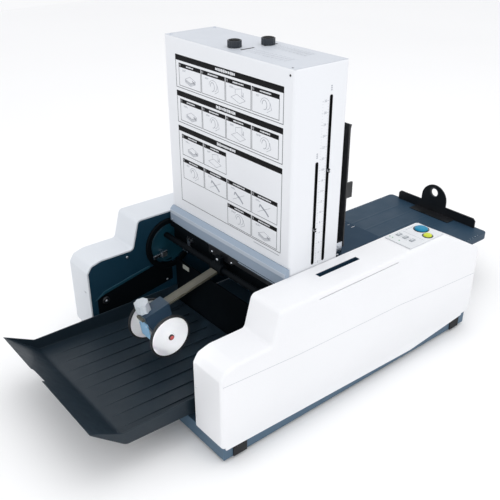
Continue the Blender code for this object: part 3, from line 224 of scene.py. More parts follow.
def moulded_rubber(name, colour, roughness=0.75, grain=1100.0):
    """Rubber straight from its mould: matt, faintly pebbled, greyed by dust."""
    made, shader = new_material(name)
    tree = made.node_tree
    dust = spread(tree, socket_noise(tree, 30.0, 5.0), 0.0, 0.35, 0.45, 0.75)
    greyed = tuple(channel + 0.04 for channel in colour)
    tree.links.new(colour_mix(tree, dust, colour, greyed), shader.inputs["Base Color"])
    rough = spread(tree, socket_noise(tree, 45.0), roughness - 0.08, roughness + 0.08)
    tree.links.new(rough, shader.inputs["Roughness"])
    shader.inputs["Specular IOR Level"].default_value = 0.35
    add_bump(tree, shader, socket_noise(tree, grain, 2.0), 0.12, 0.0005)
    return made


def dress(node, finish):
    """Gives a CAD node its finish."""
    slots = frame["nodes"][node].data.materials
    slots.clear()
    slots.append(finish)


def body_of(node):
    """The body that a CAD node belongs to."""
    return frame["nodes"][node]["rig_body"]


def show(mesh, name, finish, body, angle=30.0):
    """A finished piece: its mesh in the scene, riding on a body."""
    mesh.materials.clear()
    mesh.materials.append(finish)
    mesh.shade_smooth()
    mesh.set_sharp_from_angle(angle=math.radians(angle))
    made = bpy.data.objects.new(name, mesh)
    bpy.context.scene.collection.objects.link(made)
    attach(made, body)
    return made


def ease_edges(made, edge, segments=2, angle=30.0):
    """Rounds a piece's sharp edges by a small width."""
    ease = made.modifiers.new("eased_edges", "BEVEL")
    ease.width = edge
    ease.segments = segments
    ease.limit_method = "ANGLE"
    ease.angle_limit = math.radians(angle)
    ease.harden_normals = True


def eased(node, finish, edge=0.0006, segments=2, angle=30.0):
    """A copy of a CAD node with its facets sewn together, its edges eased and its curves smooth."""
    mesh = frame["nodes"][node].data.copy()
    bm = bmesh.new()
    bm.from_mesh(mesh)
    bmesh.ops.remove_doubles(bm, verts=bm.verts, dist=2e-6)
    bmesh.ops.dissolve_limit(
        bm, angle_limit=math.radians(0.8), use_dissolve_boundaries=False, verts=bm.verts, edges=bm.edges
    )
    bm.to_mesh(mesh)
    bm.free()
    made = show(mesh, node + "_finished", finish, body_of(node), angle)
    if edge > 0.0:
        ease_edges(made, edge, segments, angle)
    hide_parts(node)
    return made


def add_box(bm, low, high):
    """Adds a closed block to a piece, from its lowest corner to its highest."""
    grown = bmesh.ops.create_cube(bm, size=1.0)
    size = Vector(high) - Vector(low)
    middle = (Vector(high) + Vector(low)) / 2
    bmesh.ops.scale(bm, verts=grown["verts"], vec=size)
    bmesh.ops.translate(bm, verts=grown["verts"], vec=middle)
    return grown["verts"]


def piece_of(bm, name, finish, body, angle=30.0, edge=0.0):
    """Turns a bmesh into a finished piece."""
    bmesh.ops.recalc_face_normals(bm, faces=bm.faces)
    mesh = bpy.data.meshes.new(name)
    bm.to_mesh(mesh)
    bm.free()
    made = show(mesh, name, finish, body, angle)
    if edge > 0.0:
        ease_edges(made, edge, 2, angle)
    return made


base_paint = textured_paint("base_blue_grey_paint", (0.060, 0.118, 0.180), 0.42)
foot_rubber = moulded_rubber("foot_rubber", (0.012, 0.013, 0.015))
eased("base_pan", base_paint, 0.0012)
for end in ("delivery", "feed"):
    for side in ("near", "far"):
        eased(f"foot_{end}_{side}", foot_rubber, 0.0008)

pan_low, pan_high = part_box("base_pan")
pads = bmesh.new()
for x in (pan_low.x + 0.020, pan_high.x - 0.052):
    for y in (pan_low.y - 0.0025, pan_high.y - 0.0005):
        add_box(pads, (x, y, pan_low.z + 0.0006), (x + 0.030, y + 0.003, pan_high.z - 0.0006))
piece_of(pads, "pan_corner_pads", foot_rubber, "frame", edge=0.0006)

# ---------------------------------------------------------------- covers
# Two covers of pressed steel, stoved in fine-textured cool white: low rounded shoulders at the delivery
# end, full height beside the tower and a slope down to the feed end. A fine joint line runs along each
# outer side where the upper and lower pressings meet. The far cover is given a greyer white as painted shade.

COVER_WHITE = (0.845, 0.85, 0.868)
# Painted shade: the far cover's white is darker than the near cover's.
FAR_COVER_SHADED_WHITE = (0.68, 0.71, 0.75)


def close_loops(bm, one, two):
    """Adds a closed solid between two loops that have the same count of points."""
    first = [bm.verts.new(point) for point in one]
    second = [bm.verts.new(point) for point in two]
    bm.faces.new(first)
    bm.faces.new(second)
    for index in range(len(first)):
        after = (index + 1) % len(first)
        bm.faces.new((first[index], first[after], second[after], second[index]))


def thin_line(points, width, thickness, side):
    """A flat strip that follows points in a plane of constant Y, standing proud of it by its thickness."""
    bm = bmesh.new()
    for (x0, z0), (x1, z1) in zip(points, points[1:]):
        along = Vector((x1 - x0, z1 - z0)).normalized()
        square = Vector((-along.y, along.x)) * width / 2
        corners = ((x0, z0, 1), (x1, z1, 1), (x1, z1, -1), (x0, z0, -1))
        loop = [(x + sign * square.x, z + sign * square.y) for x, z, sign in corners]
        close_loops(bm, [(x, side, z) for x, z in loop], [(x, side + thickness, z) for x, z in loop])
    return bm


cover_white = textured_paint("cover_white_paint", COVER_WHITE, 0.40, 1500.0, 0.09, 0.02, 0.08)
joint_grey = textured_paint("cover_joint_shadow", (0.50, 0.52, 0.56), 0.6)
# The far cover's greyer white is painted shade.
far_shaded_white = textured_paint("far_cover_painted_shade_white", FAR_COVER_SHADED_WHITE, 0.40, 1500.0, 0.09, 0.02, 0.08)
eased("cover_near", cover_white, 0.0005)
eased("cover_far", far_shaded_white, 0.0005)
cover_low, cover_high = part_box("cover_near")
far_low, far_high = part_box("cover_far")
delivery_x = far_low.x
joint_path = [(0.004, 0.170), (0.172, 0.159), (0.440, 0.152), (0.569, 0.142), (0.690, 0.134)]
joint_path = [(delivery_x + x, z) for x, z in joint_path]
for name, side, out in (("near", cover_low.y, -1.0), ("far", far_high.y, 1.0)):
    line = thin_line(joint_path, 0.0009, out * 0.00012, side - out * 0.00004)
    piece_of(line, f"cover_{name}_joint_line", joint_grey, "frame")

# ---------------------------------------------------------------- small fasteners and rows of marks
# Repeated small things grow from two node trees: one sets a fastener on each place with its own direction,
# the other repeats a small block along a line, with every so many marks longer.


def tree_with(name, sockets):
    """A geometry tree with named inputs, its input node and its output node."""
    tree = bpy.data.node_groups.new(name, "GeometryNodeTree")
    tree.interface.new_socket("Geometry", in_out="INPUT", socket_type="NodeSocketGeometry")
    for label, kind in sockets:
        tree.interface.new_socket(label, in_out="INPUT", socket_type="NodeSocket" + kind)
    tree.interface.new_socket("Geometry", in_out="OUTPUT", socket_type="NodeSocketGeometry")
    return tree, tree.nodes.new("NodeGroupInput"), tree.nodes.new("NodeGroupOutput")


def grow(tree, start_mesh, values):
    """Runs a tree on a mesh and returns the plain mesh that it grows."""
    source = bpy.data.objects.new("growing", start_mesh)
    bpy.context.scene.collection.objects.link(source)
    grower = source.modifiers.new("grower", "NODES")
    grower.node_group = tree
    for item in tree.interface.items_tree:
        if item.item_type == "SOCKET" and item.in_out == "INPUT" and item.name in values:
            grower[item.identifier] = values[item.name]
    bpy.context.view_layer.update()
    evaluated = source.evaluated_get(bpy.context.evaluated_depsgraph_get())
    grown = bpy.data.meshes.new_from_object(evaluated)
    bpy.data.objects.remove(source)
    return grown


def paint_instances(tree, start, end, scatter):
    """Ends a tree: its instances are made real and take the Finish input."""
    realise = tree.nodes.new("GeometryNodeRealizeInstances")
    paint = tree.nodes.new("GeometryNodeSetMaterial")
    link = tree.links.new
    link(scatter.outputs["Instances"], realise.inputs["Geometry"])
    link(realise.outputs["Geometry"], paint.inputs["Geometry"])
    link(start.outputs["Finish"], paint.inputs["Material"])
    link(paint.outputs["Geometry"], end.inputs["Geometry"])


def fastener_tree():
    """Instances a template on every place, turned to the place's own direction."""
    sockets = [("Template", "Object"), ("Size", "Float"), ("Finish", "Material")]
    tree, start, end = tree_with("fasteners_on_places", sockets)
    nodes = tree.nodes
    link = tree.links.new
    way = nodes.new("GeometryNodeInputNamedAttribute")
    way.data_type = "FLOAT_VECTOR"
    way.inputs["Name"].default_value = "way"
    turn = nodes.new("FunctionNodeAlignRotationToVector")
    turn.axis = "Z"
    template = nodes.new("GeometryNodeObjectInfo")
    points = nodes.new("GeometryNodeMeshToPoints")
    scatter = nodes.new("GeometryNodeInstanceOnPoints")
    link(start.outputs["Geometry"], points.inputs["Mesh"])
    link(points.outputs["Points"], scatter.inputs["Points"])
    link(start.outputs["Template"], template.inputs["Object"])
    link(template.outputs["Geometry"], scatter.inputs["Instance"])
    link(way.outputs["Attribute"], turn.inputs["Vector"])
    link(turn.outputs["Rotation"], scatter.inputs["Rotation"])
    link(start.outputs["Size"], scatter.inputs["Scale"])
    paint_instances(tree, start, end, scatter)
    return tree


def marks_tree():
    """Repeats a small block along a line; every so many blocks takes the long size."""
    sizes = [(label, "Vector") for label in ("Start", "Step", "Short", "Long")]
    counts = [("Count", "Int"), ("Long Every", "Int"), ("Finish", "Material")]
    tree, start, end = tree_with("marks_in_a_row", sizes + counts)
    nodes = tree.nodes
    link = tree.links.new
    line = nodes.new("GeometryNodeMeshLine")
    line.mode = "OFFSET"
    block = nodes.new("GeometryNodeMeshCube")
    block.inputs["Size"].default_value = (1.0, 1.0, 1.0)
    index = nodes.new("GeometryNodeInputIndex")
    remainder = nodes.new("FunctionNodeIntegerMath")
    remainder.operation = "MODULO"
    whole = nodes.new("FunctionNodeCompare")
    whole.data_type = "INT"
    whole.operation = "EQUAL"
    choose = nodes.new("GeometryNodeSwitch")
    choose.input_type = "VECTOR"
    scatter = nodes.new("GeometryNodeInstanceOnPoints")
    link(start.outputs["Count"], line.inputs["Count"])
    link(start.outputs["Start"], line.inputs["Start Location"])
    link(start.outputs["Step"], line.inputs["Offset"])
    link(index.outputs["Index"], remainder.inputs[0])
    link(start.outputs["Long Every"], remainder.inputs[1])
    link(remainder.outputs[0], whole.inputs["A"])
    link(whole.outputs["Result"], choose.inputs["Switch"])
    link(start.outputs["Short"], choose.inputs["False"])
    link(start.outputs["Long"], choose.inputs["True"])
    link(line.outputs["Mesh"], scatter.inputs["Points"])
    link(block.outputs["Mesh"], scatter.inputs["Instance"])
    link(choose.outputs["Output"], scatter.inputs["Scale"])
    paint_instances(tree, start, end, scatter)
    return tree


def join_rings(bm, rings, round_again=False):
    """Skins neighbouring rings of vertices together, and the last to the first when round_again."""
    followers = rings[1:] + rings[:1] if round_again else rings[1:]
    for one, two in zip(rings, followers):
        for step in range(len(one)):
            after = (step + 1) % len(one)
            bm.faces.new((one[step], one[after], two[after], two[step]))


def pan_head_screw(name):
    """A pan-head screw on +Z with a head radius of 1 in its own units and a cross recess."""
    bm = bmesh.new()
    angles = [2 * math.pi * step / 16 for step in range(16)]
    rings = []
    for radius, height in ((1.0, 0.0), (1.0, 0.35), (0.86, 0.58), (0.55, 0.72), (0.42, 0.74)):
        rings.append([bm.verts.new((radius * math.cos(a), radius * math.sin(a), height)) for a in angles])
    arms = [0.40 if step % 4 == 0 else 0.14 for step in range(16)]
    cross = [bm.verts.new((arm * math.cos(a), arm * math.sin(a), 0.74)) for arm, a in zip(arms, angles)]
    recess = [bm.verts.new((corner.co.x * 0.8, corner.co.y * 0.8, 0.36)) for corner in cross]
    rings += [cross, recess]
    join_rings(bm, rings)
    bm.faces.new(list(reversed(rings[0])))
    bm.faces.new(recess)
    bmesh.ops.recalc_face_normals(bm, faces=bm.faces)
    mesh = bpy.data.meshes.new(name)
    bm.to_mesh(mesh)
    bm.free()
    return mesh


FASTENERS = fastener_tree()
MARKS = marks_tree()
SCREW_MESH = pan_head_screw("pan_head_screw")


def screws(name, places, radius, finish, body):
    """Screws at places, each a (point, direction)."""
    mesh = bpy.data.meshes.new(name + "_places")
    mesh.from_pydata([point for point, _ in places], [], [])
    ways = mesh.attributes.new("way", "FLOAT_VECTOR", "POINT")
    for index, (_, way) in enumerate(places):
        ways.data[index].vector = way
    template = bpy.data.objects.new("screw_template", SCREW_MESH)
    bpy.context.scene.collection.objects.link(template)
    grown = grow(FASTENERS, mesh, {"Template": template, "Size": radius, "Finish": finish})
    bpy.data.objects.remove(template)
    return show(grown, name, finish, body)


def gather(bm, mesh):
    """Adds a grown mesh to a piece being made."""
    bm.from_mesh(mesh)
    bpy.data.meshes.remove(mesh)


def add_marks(bm, start, step, count, short, finish, long=None, every=1):
    """Adds a row of small blocks to a piece."""
    sizes = {"Start": start, "Step": step, "Short": short, "Long": long or short}
    counts = {"Count": count, "Long Every": every, "Finish": finish}
    gather(bm, grow(MARKS, bpy.data.meshes.new("row_start"), sizes | counts))


# ---------------------------------------------------------------- side frames and inner faces
# Dark blue-green steel plates close the covers towards the paper path and carry the rollers. The far one
# shows its round black rim, a pressed crease and the small fittings of the delivery drive.


def brushed(name, colour, roughness, stretch=(1.0, 1.0, 1.0), streaks=60.0):
    """Drawn or ground steel: streaks along one direction in colour, roughness and bump."""
    made, shader = new_material(name)
    tree = made.node_tree
    shader.inputs["Metallic"].default_value = 1.0
    grain = socket_noise(tree, streaks, 4.0, stretch=stretch)
    base = colour_mix(tree, spread(tree, grain, 0.0, 1.0), colour, tuple(c * 0.82 for c in colour))
    tree.links.new(base, shader.inputs["Base Color"])
    tree.links.new(spread(tree, grain, roughness - 0.06, roughness + 0.10), shader.inputs["Roughness"])
    add_bump(tree, shader, grain, 0.05, 0.0003)
    return made


def turned_piece(bm, profile, centre, axis, sides=32, hollow=False):
    """Adds a turned shape; its profile is (radius, distance along the axis), round again if hollow."""
    turn = Vector((0, 0, 1)).rotation_difference(Vector(axis)).to_matrix().to_4x4()
    move = Matrix.Translation(centre) @ turn
    angles = [2 * math.pi * side / sides for side in range(sides)]
    rings = []
    for radius, along in profile:
        spots = [Vector((radius * math.cos(angle), radius * math.sin(angle), along)) for angle in angles]
        rings.append([bm.verts.new(move @ spot) for spot in spots])
    join_rings(bm, rings, hollow)
    if not hollow:
        bm.faces.new(rings[0])
        bm.faces.new(rings[-1])


frame_paint = textured_paint("side_frame_dark_paint", (0.006, 0.034, 0.060), 0.38, shine=0.4)
liner_teal = textured_paint("liner_teal_paint", (0.008, 0.052, 0.080), 0.34, shine=0.4)
black_enamel = textured_paint("black_enamel", (0.006, 0.007, 0.009), 0.36, 1600.0, 0.06)
dull_black = textured_paint("dull_black_paint", (0.0015, 0.003, 0.0045), 0.65, 1600.0, 0.06, shine=0.08)
bright_zinc = brushed("bright_zinc", (0.72, 0.76, 0.82), 0.24)
for node in ("side_frame_near", "side_frame_far"):
    dress(node, frame_paint)
dress("delivery_bulkhead", dull_black)
eased("round_cover_rim", dull_black, 0.0004)

rim_low, rim_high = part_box("round_cover_rim")
wall_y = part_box("side_frame_far")[0].y
rim_x = (rim_low.x + rim_high.x) / 2
rim_z = (rim_low.z + rim_high.z) / 2
disc = bmesh.new()
disc_profile = [(0.0445, 0.0), (0.0445, 0.0012), (0.0425, 0.0020), (0.0405, 0.0012), (0.006, 0.0012)]
turned_piece(disc, disc_profile, (rim_x, wall_y + 0.0004, rim_z), (0, -1, 0), 48)
piece_of(disc, "round_cover_disc", liner_teal, "frame")


def wall_shape(bm, points, y0, y1):
    """Adds a flat shape standing off the far inner wall; its points are (x from the delivery end, z)."""
    back = [(delivery_x + x, y1, z) for x, z in points]
    front = [(delivery_x + x, y0, z) for x, z in points]
    close_loops(bm, back, front)


crease = bmesh.new()
crease_points = [(0.010, 0.112), (0.035, 0.129), (0.130, 0.148)]
crease_points += [(0.146, 0.150), (0.146, 0.145), (0.035, 0.122)]
wall_shape(crease, crease_points, wall_y - 0.0026, wall_y)
piece_of(crease, "far_liner_crease", liner_teal, "frame", edge=0.0008)
# A black sheet darkens the far wall's lower part. This is partly the dark parts there and partly painted
# shade.
shade_sheet = bmesh.new()
shade_sheet_points = [(0.017, 0.066), (0.017, 0.112), (0.035, 0.122)]
shade_sheet_points += [(0.146, 0.145), (0.204, 0.152), (0.204, 0.098)]
wall_shape(shade_sheet, shade_sheet_points, wall_y - 0.0010, wall_y)
piece_of(shade_sheet, "far_liner_lower_skin", dull_black, "frame", edge=0.0003)

fitting = bmesh.new()
arm_points = [(0.150, 0.1685), (0.150, 0.176), (0.176, 0.1795), (0.176, 0.172)]
head_points = [(0.170, 0.168), (0.170, 0.182), (0.183, 0.1835), (0.183, 0.1695)]
wall_shape(fitting, arm_points, wall_y - 0.016, wall_y - 0.012)
wall_shape(fitting, head_points, wall_y - 0.018, wall_y - 0.008)
post = [(0.0045, 0.0), (0.0045, 0.010), (0.0030, 0.012)]
turned_piece(fitting, post, (delivery_x + 0.1775, wall_y, 0.176), (0, -1, 0), 20)
piece_of(fitting, "far_wall_fitting", bright_zinc, "frame", edge=0.0004)
boss = bmesh.new()
boss_profile = [(0.0085, 0.0), (0.0085, 0.004), (0.0070, 0.0055)]
turned_piece(boss, boss_profile, (delivery_x + 0.035, wall_y, 0.107), (0, -1, 0), 24)
piece_of(boss, "far_wall_boss", black_enamel, "frame")
places = [((delivery_x + 0.035, wall_y - 0.0054, 0.107), (0, -1, 0))]
places.append(((delivery_x + 0.190, wall_y, 0.100), (0, -1, 0)))
near_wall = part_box("side_frame_near")[1].y
for x, z in ((0.030, 0.170), (0.100, 0.120), (0.150, 0.215), (0.600, 0.200), (0.500, 0.225)):
    places.append(((delivery_x + x, near_wall, z), (0, 1, 0)))
for x, z in ((0.600, 0.200), (0.500, 0.225), (0.095, 0.188)):
    places.append(((delivery_x + x, wall_y, z), (0, -1, 0)))
screws("inner_wall_screws", places, 0.0030, bright_zinc, "frame")

# ---------------------------------------------------------------- rollers, gears and motor
# Three ground polyurethane fold rollers on steel journals, joined by nylon gears behind the far frame and
# turned by a small motor.


def ground_rubber(name, colour):
    """A ground polyurethane roll: fine circular grinding lines along its length."""
    made, shader = new_material(name)
    tree = made.node_tree
    lines = socket_noise(tree, 40.0, 2.0, stretch=(0.2, 30.0, 0.2))
    base = colour_mix(tree, spread(tree, lines, 0.0, 1.0), colour, tuple(c * 0.8 for c in colour))
    tree.links.new(base, shader.inputs["Base Color"])
    tree.links.new(spread(tree, lines, 0.45, 0.62), shader.inputs["Roughness"])
    add_bump(tree, shader, lines, 0.1, 0.0004)
    return made


def moulded(name, colour, roughness, grain=1300.0, depth=0.06, gloss_coat=0.0, shine=0.5):
    """Injection-moulded plastic with a fine spark-eroded texture."""
    made, shader = new_material(name)
    tree = made.node_tree
    cloud = spread(tree, socket_noise(tree, 25.0, 3.0), 0.0, 1.0)
    base = colour_mix(tree, cloud, colour, tuple(c * 0.93 for c in colour))
    tree.links.new(base, shader.inputs["Base Color"])
    smudge = spread(tree, socket_noise(tree, 50.0), roughness - 0.04, roughness + 0.06)
    tree.links.new(smudge, shader.inputs["Roughness"])
    shader.inputs["Specular IOR Level"].default_value = shine
    shader.inputs["Coat Weight"].default_value = gloss_coat
    shader.inputs["Coat Roughness"].default_value = 0.12
    add_bump(tree, shader, socket_noise(tree, grain, 2.0), depth, 0.0003)
    return made


roll_rubber = ground_rubber("fold_roller_rubber", (0.030, 0.034, 0.040))
nylon = moulded("gear_nylon", (0.70, 0.69, 0.63), 0.45)
machine_steel = brushed("machine_steel", (0.60, 0.62, 0.65), 0.28, (1.0, 12.0, 1.0))
for place in ("delivery", "middle", "feed"):
    eased(f"fold_roller_{place}", roll_rubber, 0.0)
    dress(f"gear_fold_roller_{place}", nylon)
dress("motor_pinion", nylon)
eased("drive_motor", machine_steel, 0.0005)

# ---------------------------------------------------------------- tower
# A folded steel housing in cool white that stands over the rollers, with its paper chutes, stop bars and
# lead screws inside.

tower_paint = textured_paint("tower_white_paint", (0.80, 0.815, 0.845), 0.42, 1500.0, 0.08, 0.02, 0.06)
ink_black = moulded("printed_black", (0.005, 0.005, 0.006), 0.7, 2000.0, 0.02, shine=0.15)
ink_line = moulded("printed_line_grey", (0.085, 0.09, 0.10), 0.6, 2000.0, 0.02, shine=0.2)
ink_grey = moulded("printed_grey", (0.40, 0.42, 0.46), 0.6, 2000.0, 0.02)
ink_faint = moulded("printed_sketch_grey", (0.34, 0.36, 0.40), 0.6, 2000.0, 0.02, shine=0.2)
ink_white = moulded("printed_white", (0.83, 0.85, 0.88), 0.45, 2000.0, 0.02)
eased("tower_housing", tower_paint, 0.0006)
for name in ("front", "rear"):
    dress(f"fold_plate_{name}", machine_steel)
    dress(f"fold_stop_{name}", machine_steel)
    dress(f"lead_screw_{name}", machine_steel)
tower_low, tower_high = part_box("tower_housing")

# ---------------------------------------------------------------- setting chart on the tower's front
# Three framed sections are printed on the front face: each has a black title bar and small picture cells
# under black captions. The captions are plain dashes and the pictures are loose line sketches of a sheet,
# a stack or the machine.

CHART_FAR = tower_high.y - 0.037
CHART_NEAR = tower_low.y + 0.024
CHART_X = tower_low.x
PRINT = 0.00016
TITLE_HEIGHT = 0.0105
HEADER_HEIGHT = 0.0078
CELL_HEIGHT = 0.043
MARGIN = 0.0095
SECTIONS = (
    (0.6005, 0.5380, ((0.0150, (0, 1, 2, 3)),)),
    (0.5320, 0.4690, ((0.0150, (0, 1, 2, 3)),)),
    (0.4620, 0.3010, ((0.0160, (0, 1)), (0.0665, (0, 1, 2, 3)), (0.1150, (2, 3)))),
)
ink = random.Random(7)


def printed(bm, y0, y1, z0, z1, layer=1):
    """A printed rectangle on the tower's front; higher layers lie over lower ones."""
    low = CHART_X - PRINT * 0.5 * (layer + 1)
    add_box(bm, (low, min(y0, y1), min(z0, z1)), (CHART_X + 0.00002, max(y0, y1), max(z0, z1)))


def outline(bm, y0, y1, z0, z1, width):
    """A printed rectangular frame line."""
    printed(bm, y0, y1, z0, z0 + width)
    printed(bm, y0, y1, z1 - width, z1)
    printed(bm, y0, y0 - math.copysign(width, y0 - y1), z0, z1)
    printed(bm, y1, y1 + math.copysign(width, y0 - y1), z0, z1)


def caption(bm, middle_y, middle_z, width, height):
    """A line of unlike white dashes, read from the far side to the near one."""
    y = middle_y + width / 2
    while y > middle_y - width / 2:
        step = height * ink.uniform(0.35, 0.8)
        tall = height * ink.uniform(0.6, 1.0)
        printed(bm, y, y - step * 0.72, middle_z - tall / 2, middle_z + tall / 2, 2)
        y -= step


def stroke(bm, points, width):
    """A drawn line through (y, z) points on the front face."""
    for (y0, z0), (y1, z1) in zip(points, points[1:]):
        along = Vector((y1 - y0, z1 - z0))
        if along.length < 1e-6:
            continue
        square = Vector((-along.y, along.x)).normalized() * width / 2
        loop = [(y0 + square.x, z0 + square.y), (y1 + square.x, z1 + square.y)]
        loop += [(y1 - square.x, z1 - square.y), (y0 - square.x, z0 - square.y)]
        close_loops(bm, [(CHART_X - PRINT, y, z) for y, z in loop], [(CHART_X, y, z) for y, z in loop])


def path_from(y, z, *steps):
    """The points of a drawing, each a step from its own middle and foot."""
    return [(y + across, z + up) for across, up in steps]


def sketch(bm, bold, y, z, kind):
    """One small line picture: 0 a stack of sheets, 1 a curled sheet, 2 a sheet on a table, 3 a lever."""
    fine = 0.0006
    if kind == 0:
        for level in range(4):
            rise = z + level * 0.0016
            stroke(bm, path_from(y, rise, (0.016, 0.008), (-0.002, 0.003), (-0.018, 0.009)), fine)
        sheet = ((0.016, 0.013), (0, 0.020), (-0.018, 0.014), (-0.002, 0.008), (0.016, 0.013))
        stroke(bm, path_from(y, z, *sheet), fine)
        stroke(bold, path_from(y, z, (-0.008, 0.014), (-0.015, 0.009)), 0.0020)
    elif kind == 1:
        curl = [(0.012 * math.cos(a / 3), 0.018 + 0.010 * math.sin(a / 3)) for a in range(14)]
        stroke(bm, path_from(y, z, *curl), fine)
        inner = [(0.002 + 0.006 * math.cos(a / 3), 0.016 + 0.008 * math.sin(a / 3)) for a in range(16)]
        stroke(bm, path_from(y, z, *inner), fine * 1.6)
        stroke(bm, path_from(y, z, (-0.004, 0.004), (-0.016, 0.011), (-0.012, 0.022)), fine)
    elif kind == 2:
        sheet = ((0.020, 0.010), (-0.004, 0.003), (-0.020, 0.011), (0.004, 0.018), (0.020, 0.010))
        stroke(bm, path_from(y, z, *sheet), fine)
        stroke(bm, path_from(y, z, (0.008, 0.018), (0.008, 0.026), (-0.010, 0.030), (-0.010, 0.016)), fine)
        stroke(bm, path_from(y, z, (-0.014, 0.024), (-0.014, 0.016), (-0.010, 0.019)), fine * 1.4)
    else:
        stroke(bold, path_from(y, z, (0.012, 0.022), (-0.004, 0.013), (-0.012, 0.006)), 0.0032)
        stroke(bold, path_from(y, z, (0.012, 0.022), (0.014, 0.016)), 0.0016)
        stroke(bm, path_from(y, z, (0.018, 0.006), (-0.016, 0.024)), fine)


black_print = bmesh.new()
grey_print = bmesh.new()
faint_print = bmesh.new()
white_print = bmesh.new()
bold_print = bmesh.new()
column_width = (CHART_FAR - CHART_NEAR - 2 * MARGIN) / 4
PICTURES = ((0, 1, 2, 1), (0, 1, 2, 1), (0, 2), (1, 3, 3, 3), (1, 0))
picture_rows = iter(PICTURES)
for top, foot, rows in SECTIONS:
    outline(grey_print, CHART_FAR, CHART_NEAR, foot, top, 0.0011)
    printed(black_print, CHART_FAR, CHART_NEAR, top - TITLE_HEIGHT, top)
    caption(white_print, (CHART_FAR + CHART_NEAR) / 2, top - TITLE_HEIGHT / 2, 0.056, 0.0062)
    for drop, columns in rows:
        header_top = top - drop
        cell_foot = header_top - CELL_HEIGHT
        pictures = next(picture_rows)
        for column, picture in zip(columns, pictures):
            left = CHART_FAR - MARGIN - column * column_width - 0.0009
            right = left - column_width + 0.0018
            printed(black_print, left, right, header_top - HEADER_HEIGHT, header_top)
            outline(grey_print, left, right, cell_foot, header_top, 0.0009)
            box_foot = header_top - HEADER_HEIGHT + 0.0016
            printed(white_print, left - 0.0016, left - 0.0022, box_foot, header_top - 0.0016, 2)
            printed(white_print, left - 0.0050, left - 0.0056, box_foot, header_top - 0.0016, 2)
            width = column_width * ink.uniform(0.28, 0.50)
            caption(white_print, (left + right) / 2, header_top - HEADER_HEIGHT / 2, width, 0.0030)
            sketch(faint_print, bold_print, (left + right) / 2, cell_foot + 0.002, picture)
            for line in range(2):
                z = cell_foot + 0.0290 + line * 0.0018
                y = left - column_width * 0.16
                printed(faint_print, y, y - column_width * ink.uniform(0.08, 0.2), z, z + 0.0006)
printed(faint_print, CHART_NEAR + 0.075, CHART_NEAR + 0.004, 0.2945, 0.2957)
for name, bm, finish in (
    ("chart_black_bars", black_print, ink_black),
    ("chart_frame_lines", grey_print, ink_line),
    ("chart_sketches", faint_print, ink_faint),
    ("chart_captions", white_print, ink_white),
    ("chart_bold_marks", bold_print, ink_faint),
):
    piece_of(bm, name, finish, "frame")

# ---------------------------------------------------------------- scales beside the tower's slots
# The operator's side of the tower carries a short and a long slot with dark edging, a column of numbers
# and ticks between them, and three small printed marks above each slot.

SIDE_Y = tower_low.y
slot_edge = moulded("slot_edging_black", (0.004, 0.005, 0.006), 0.65, shine=0.2)
scale_marks = bmesh.new()
SCALE_TOP = 0.572
SCALE_FOOT = 0.270
SCALE_X = delivery_x + 0.2846
TICK_STEP = 0.005
TICKS = int((SCALE_TOP - SCALE_FOOT) / TICK_STEP) + 1
SLOTS = (("front", 0.2706, 0.466), ("rear", 0.2970, 0.578))
short_tick = (0.0018, 0.00016, 0.00035)
long_tick = (0.0034, 0.00016, 0.0006)
for x in (SCALE_X - 0.0062, SCALE_X + 0.0062):
    start = (x, SIDE_Y - 0.00006, SCALE_FOOT)
    add_marks(scale_marks, start, (0, 0, TICK_STEP), TICKS, short_tick, ink_grey, long_tick, 4)
piece_of(scale_marks, "scale_ticks", ink_grey, "frame")


def numeral(text, height, middle):
    """A printed number on the operator's side of the tower."""
    curve = bpy.data.curves.new("scale_number", "FONT")
    curve.body = text
    curve.size = height
    curve.align_x = "CENTER"
    curve.align_y = "CENTER"
    curve.resolution_u = 2
    curve.extrude = 0.00006
    writer = bpy.data.objects.new("scale_number", curve)
    bpy.context.scene.collection.objects.link(writer)
    bpy.context.view_layer.update()
    graph = bpy.context.evaluated_depsgraph_get()
    mesh = bpy.data.meshes.new_from_object(writer.evaluated_get(graph))
    bpy.data.objects.remove(writer)
    mesh.transform(Matrix.Translation(middle) @ Matrix.Rotation(math.pi / 2, 4, "X"))
    return mesh


numbers = bmesh.new()
for index in range(16):
    middle = (SCALE_X, SIDE_Y - 0.00008, SCALE_FOOT + index * 0.020)
    gather(numbers, numeral(str(index * 2), 0.0062, middle))
piece_of(numbers, "scale_numbers", ink_grey, "frame")


def slot_edging(x, foot, head, width):
    """A thin raised black edging with round ends about a slot."""
    bm = bmesh.new()
    outer = []
    inner = []
    for turn, end in ((0.0, head), (math.pi, foot)):
        for step in range(9):
            angle = turn + math.pi * step / 8
            reach = end - width / 2 if end == head else end + width / 2
            across, up = math.cos(angle), math.sin(angle)
            outer.append((x + across * (width / 2 + 0.0010), reach + up * (width / 2 + 0.0010)))
            inner.append((x + across * width / 2, reach + up * width / 2))
    front = SIDE_Y - 0.0005
    back = SIDE_Y + 0.0016
    rings = []
    for loop, y in ((outer, back), (outer, front), (inner, front), (inner, back)):
        rings.append([bm.verts.new((px, y, pz)) for px, pz in loop])
    join_rings(bm, rings, round_again=True)
    return bm


for name, x, head in SLOTS:
    edging = slot_edging(delivery_x + x, SCALE_FOOT, head, 0.0046)
    piece_of(edging, f"scale_slot_edging_{name}", slot_edge, "frame")
backing = bmesh.new()
add_box(backing, (delivery_x + 0.266, SIDE_Y + 0.0030, 0.262), (delivery_x + 0.3015, SIDE_Y + 0.0034, 0.584))
piece_of(backing, "scale_slot_dust_strip", slot_edge, "frame")
label_print = bmesh.new()
for name, x, head in SLOTS:
    for up in (0.0075, 0.0109, 0.0143):
        low = (delivery_x + x - 0.0016, SIDE_Y - 0.00015, head + up)
        add_box(label_print, low, (delivery_x + x + 0.0016, SIDE_Y, head + up + 0.0022))
piece_of(label_print, "scale_label_print", ink_grey, "frame")

# ---------------------------------------------------------------- stop pointers
# Each fold stop carries a small black pointer with a white line, which rides in its slot with the stop.

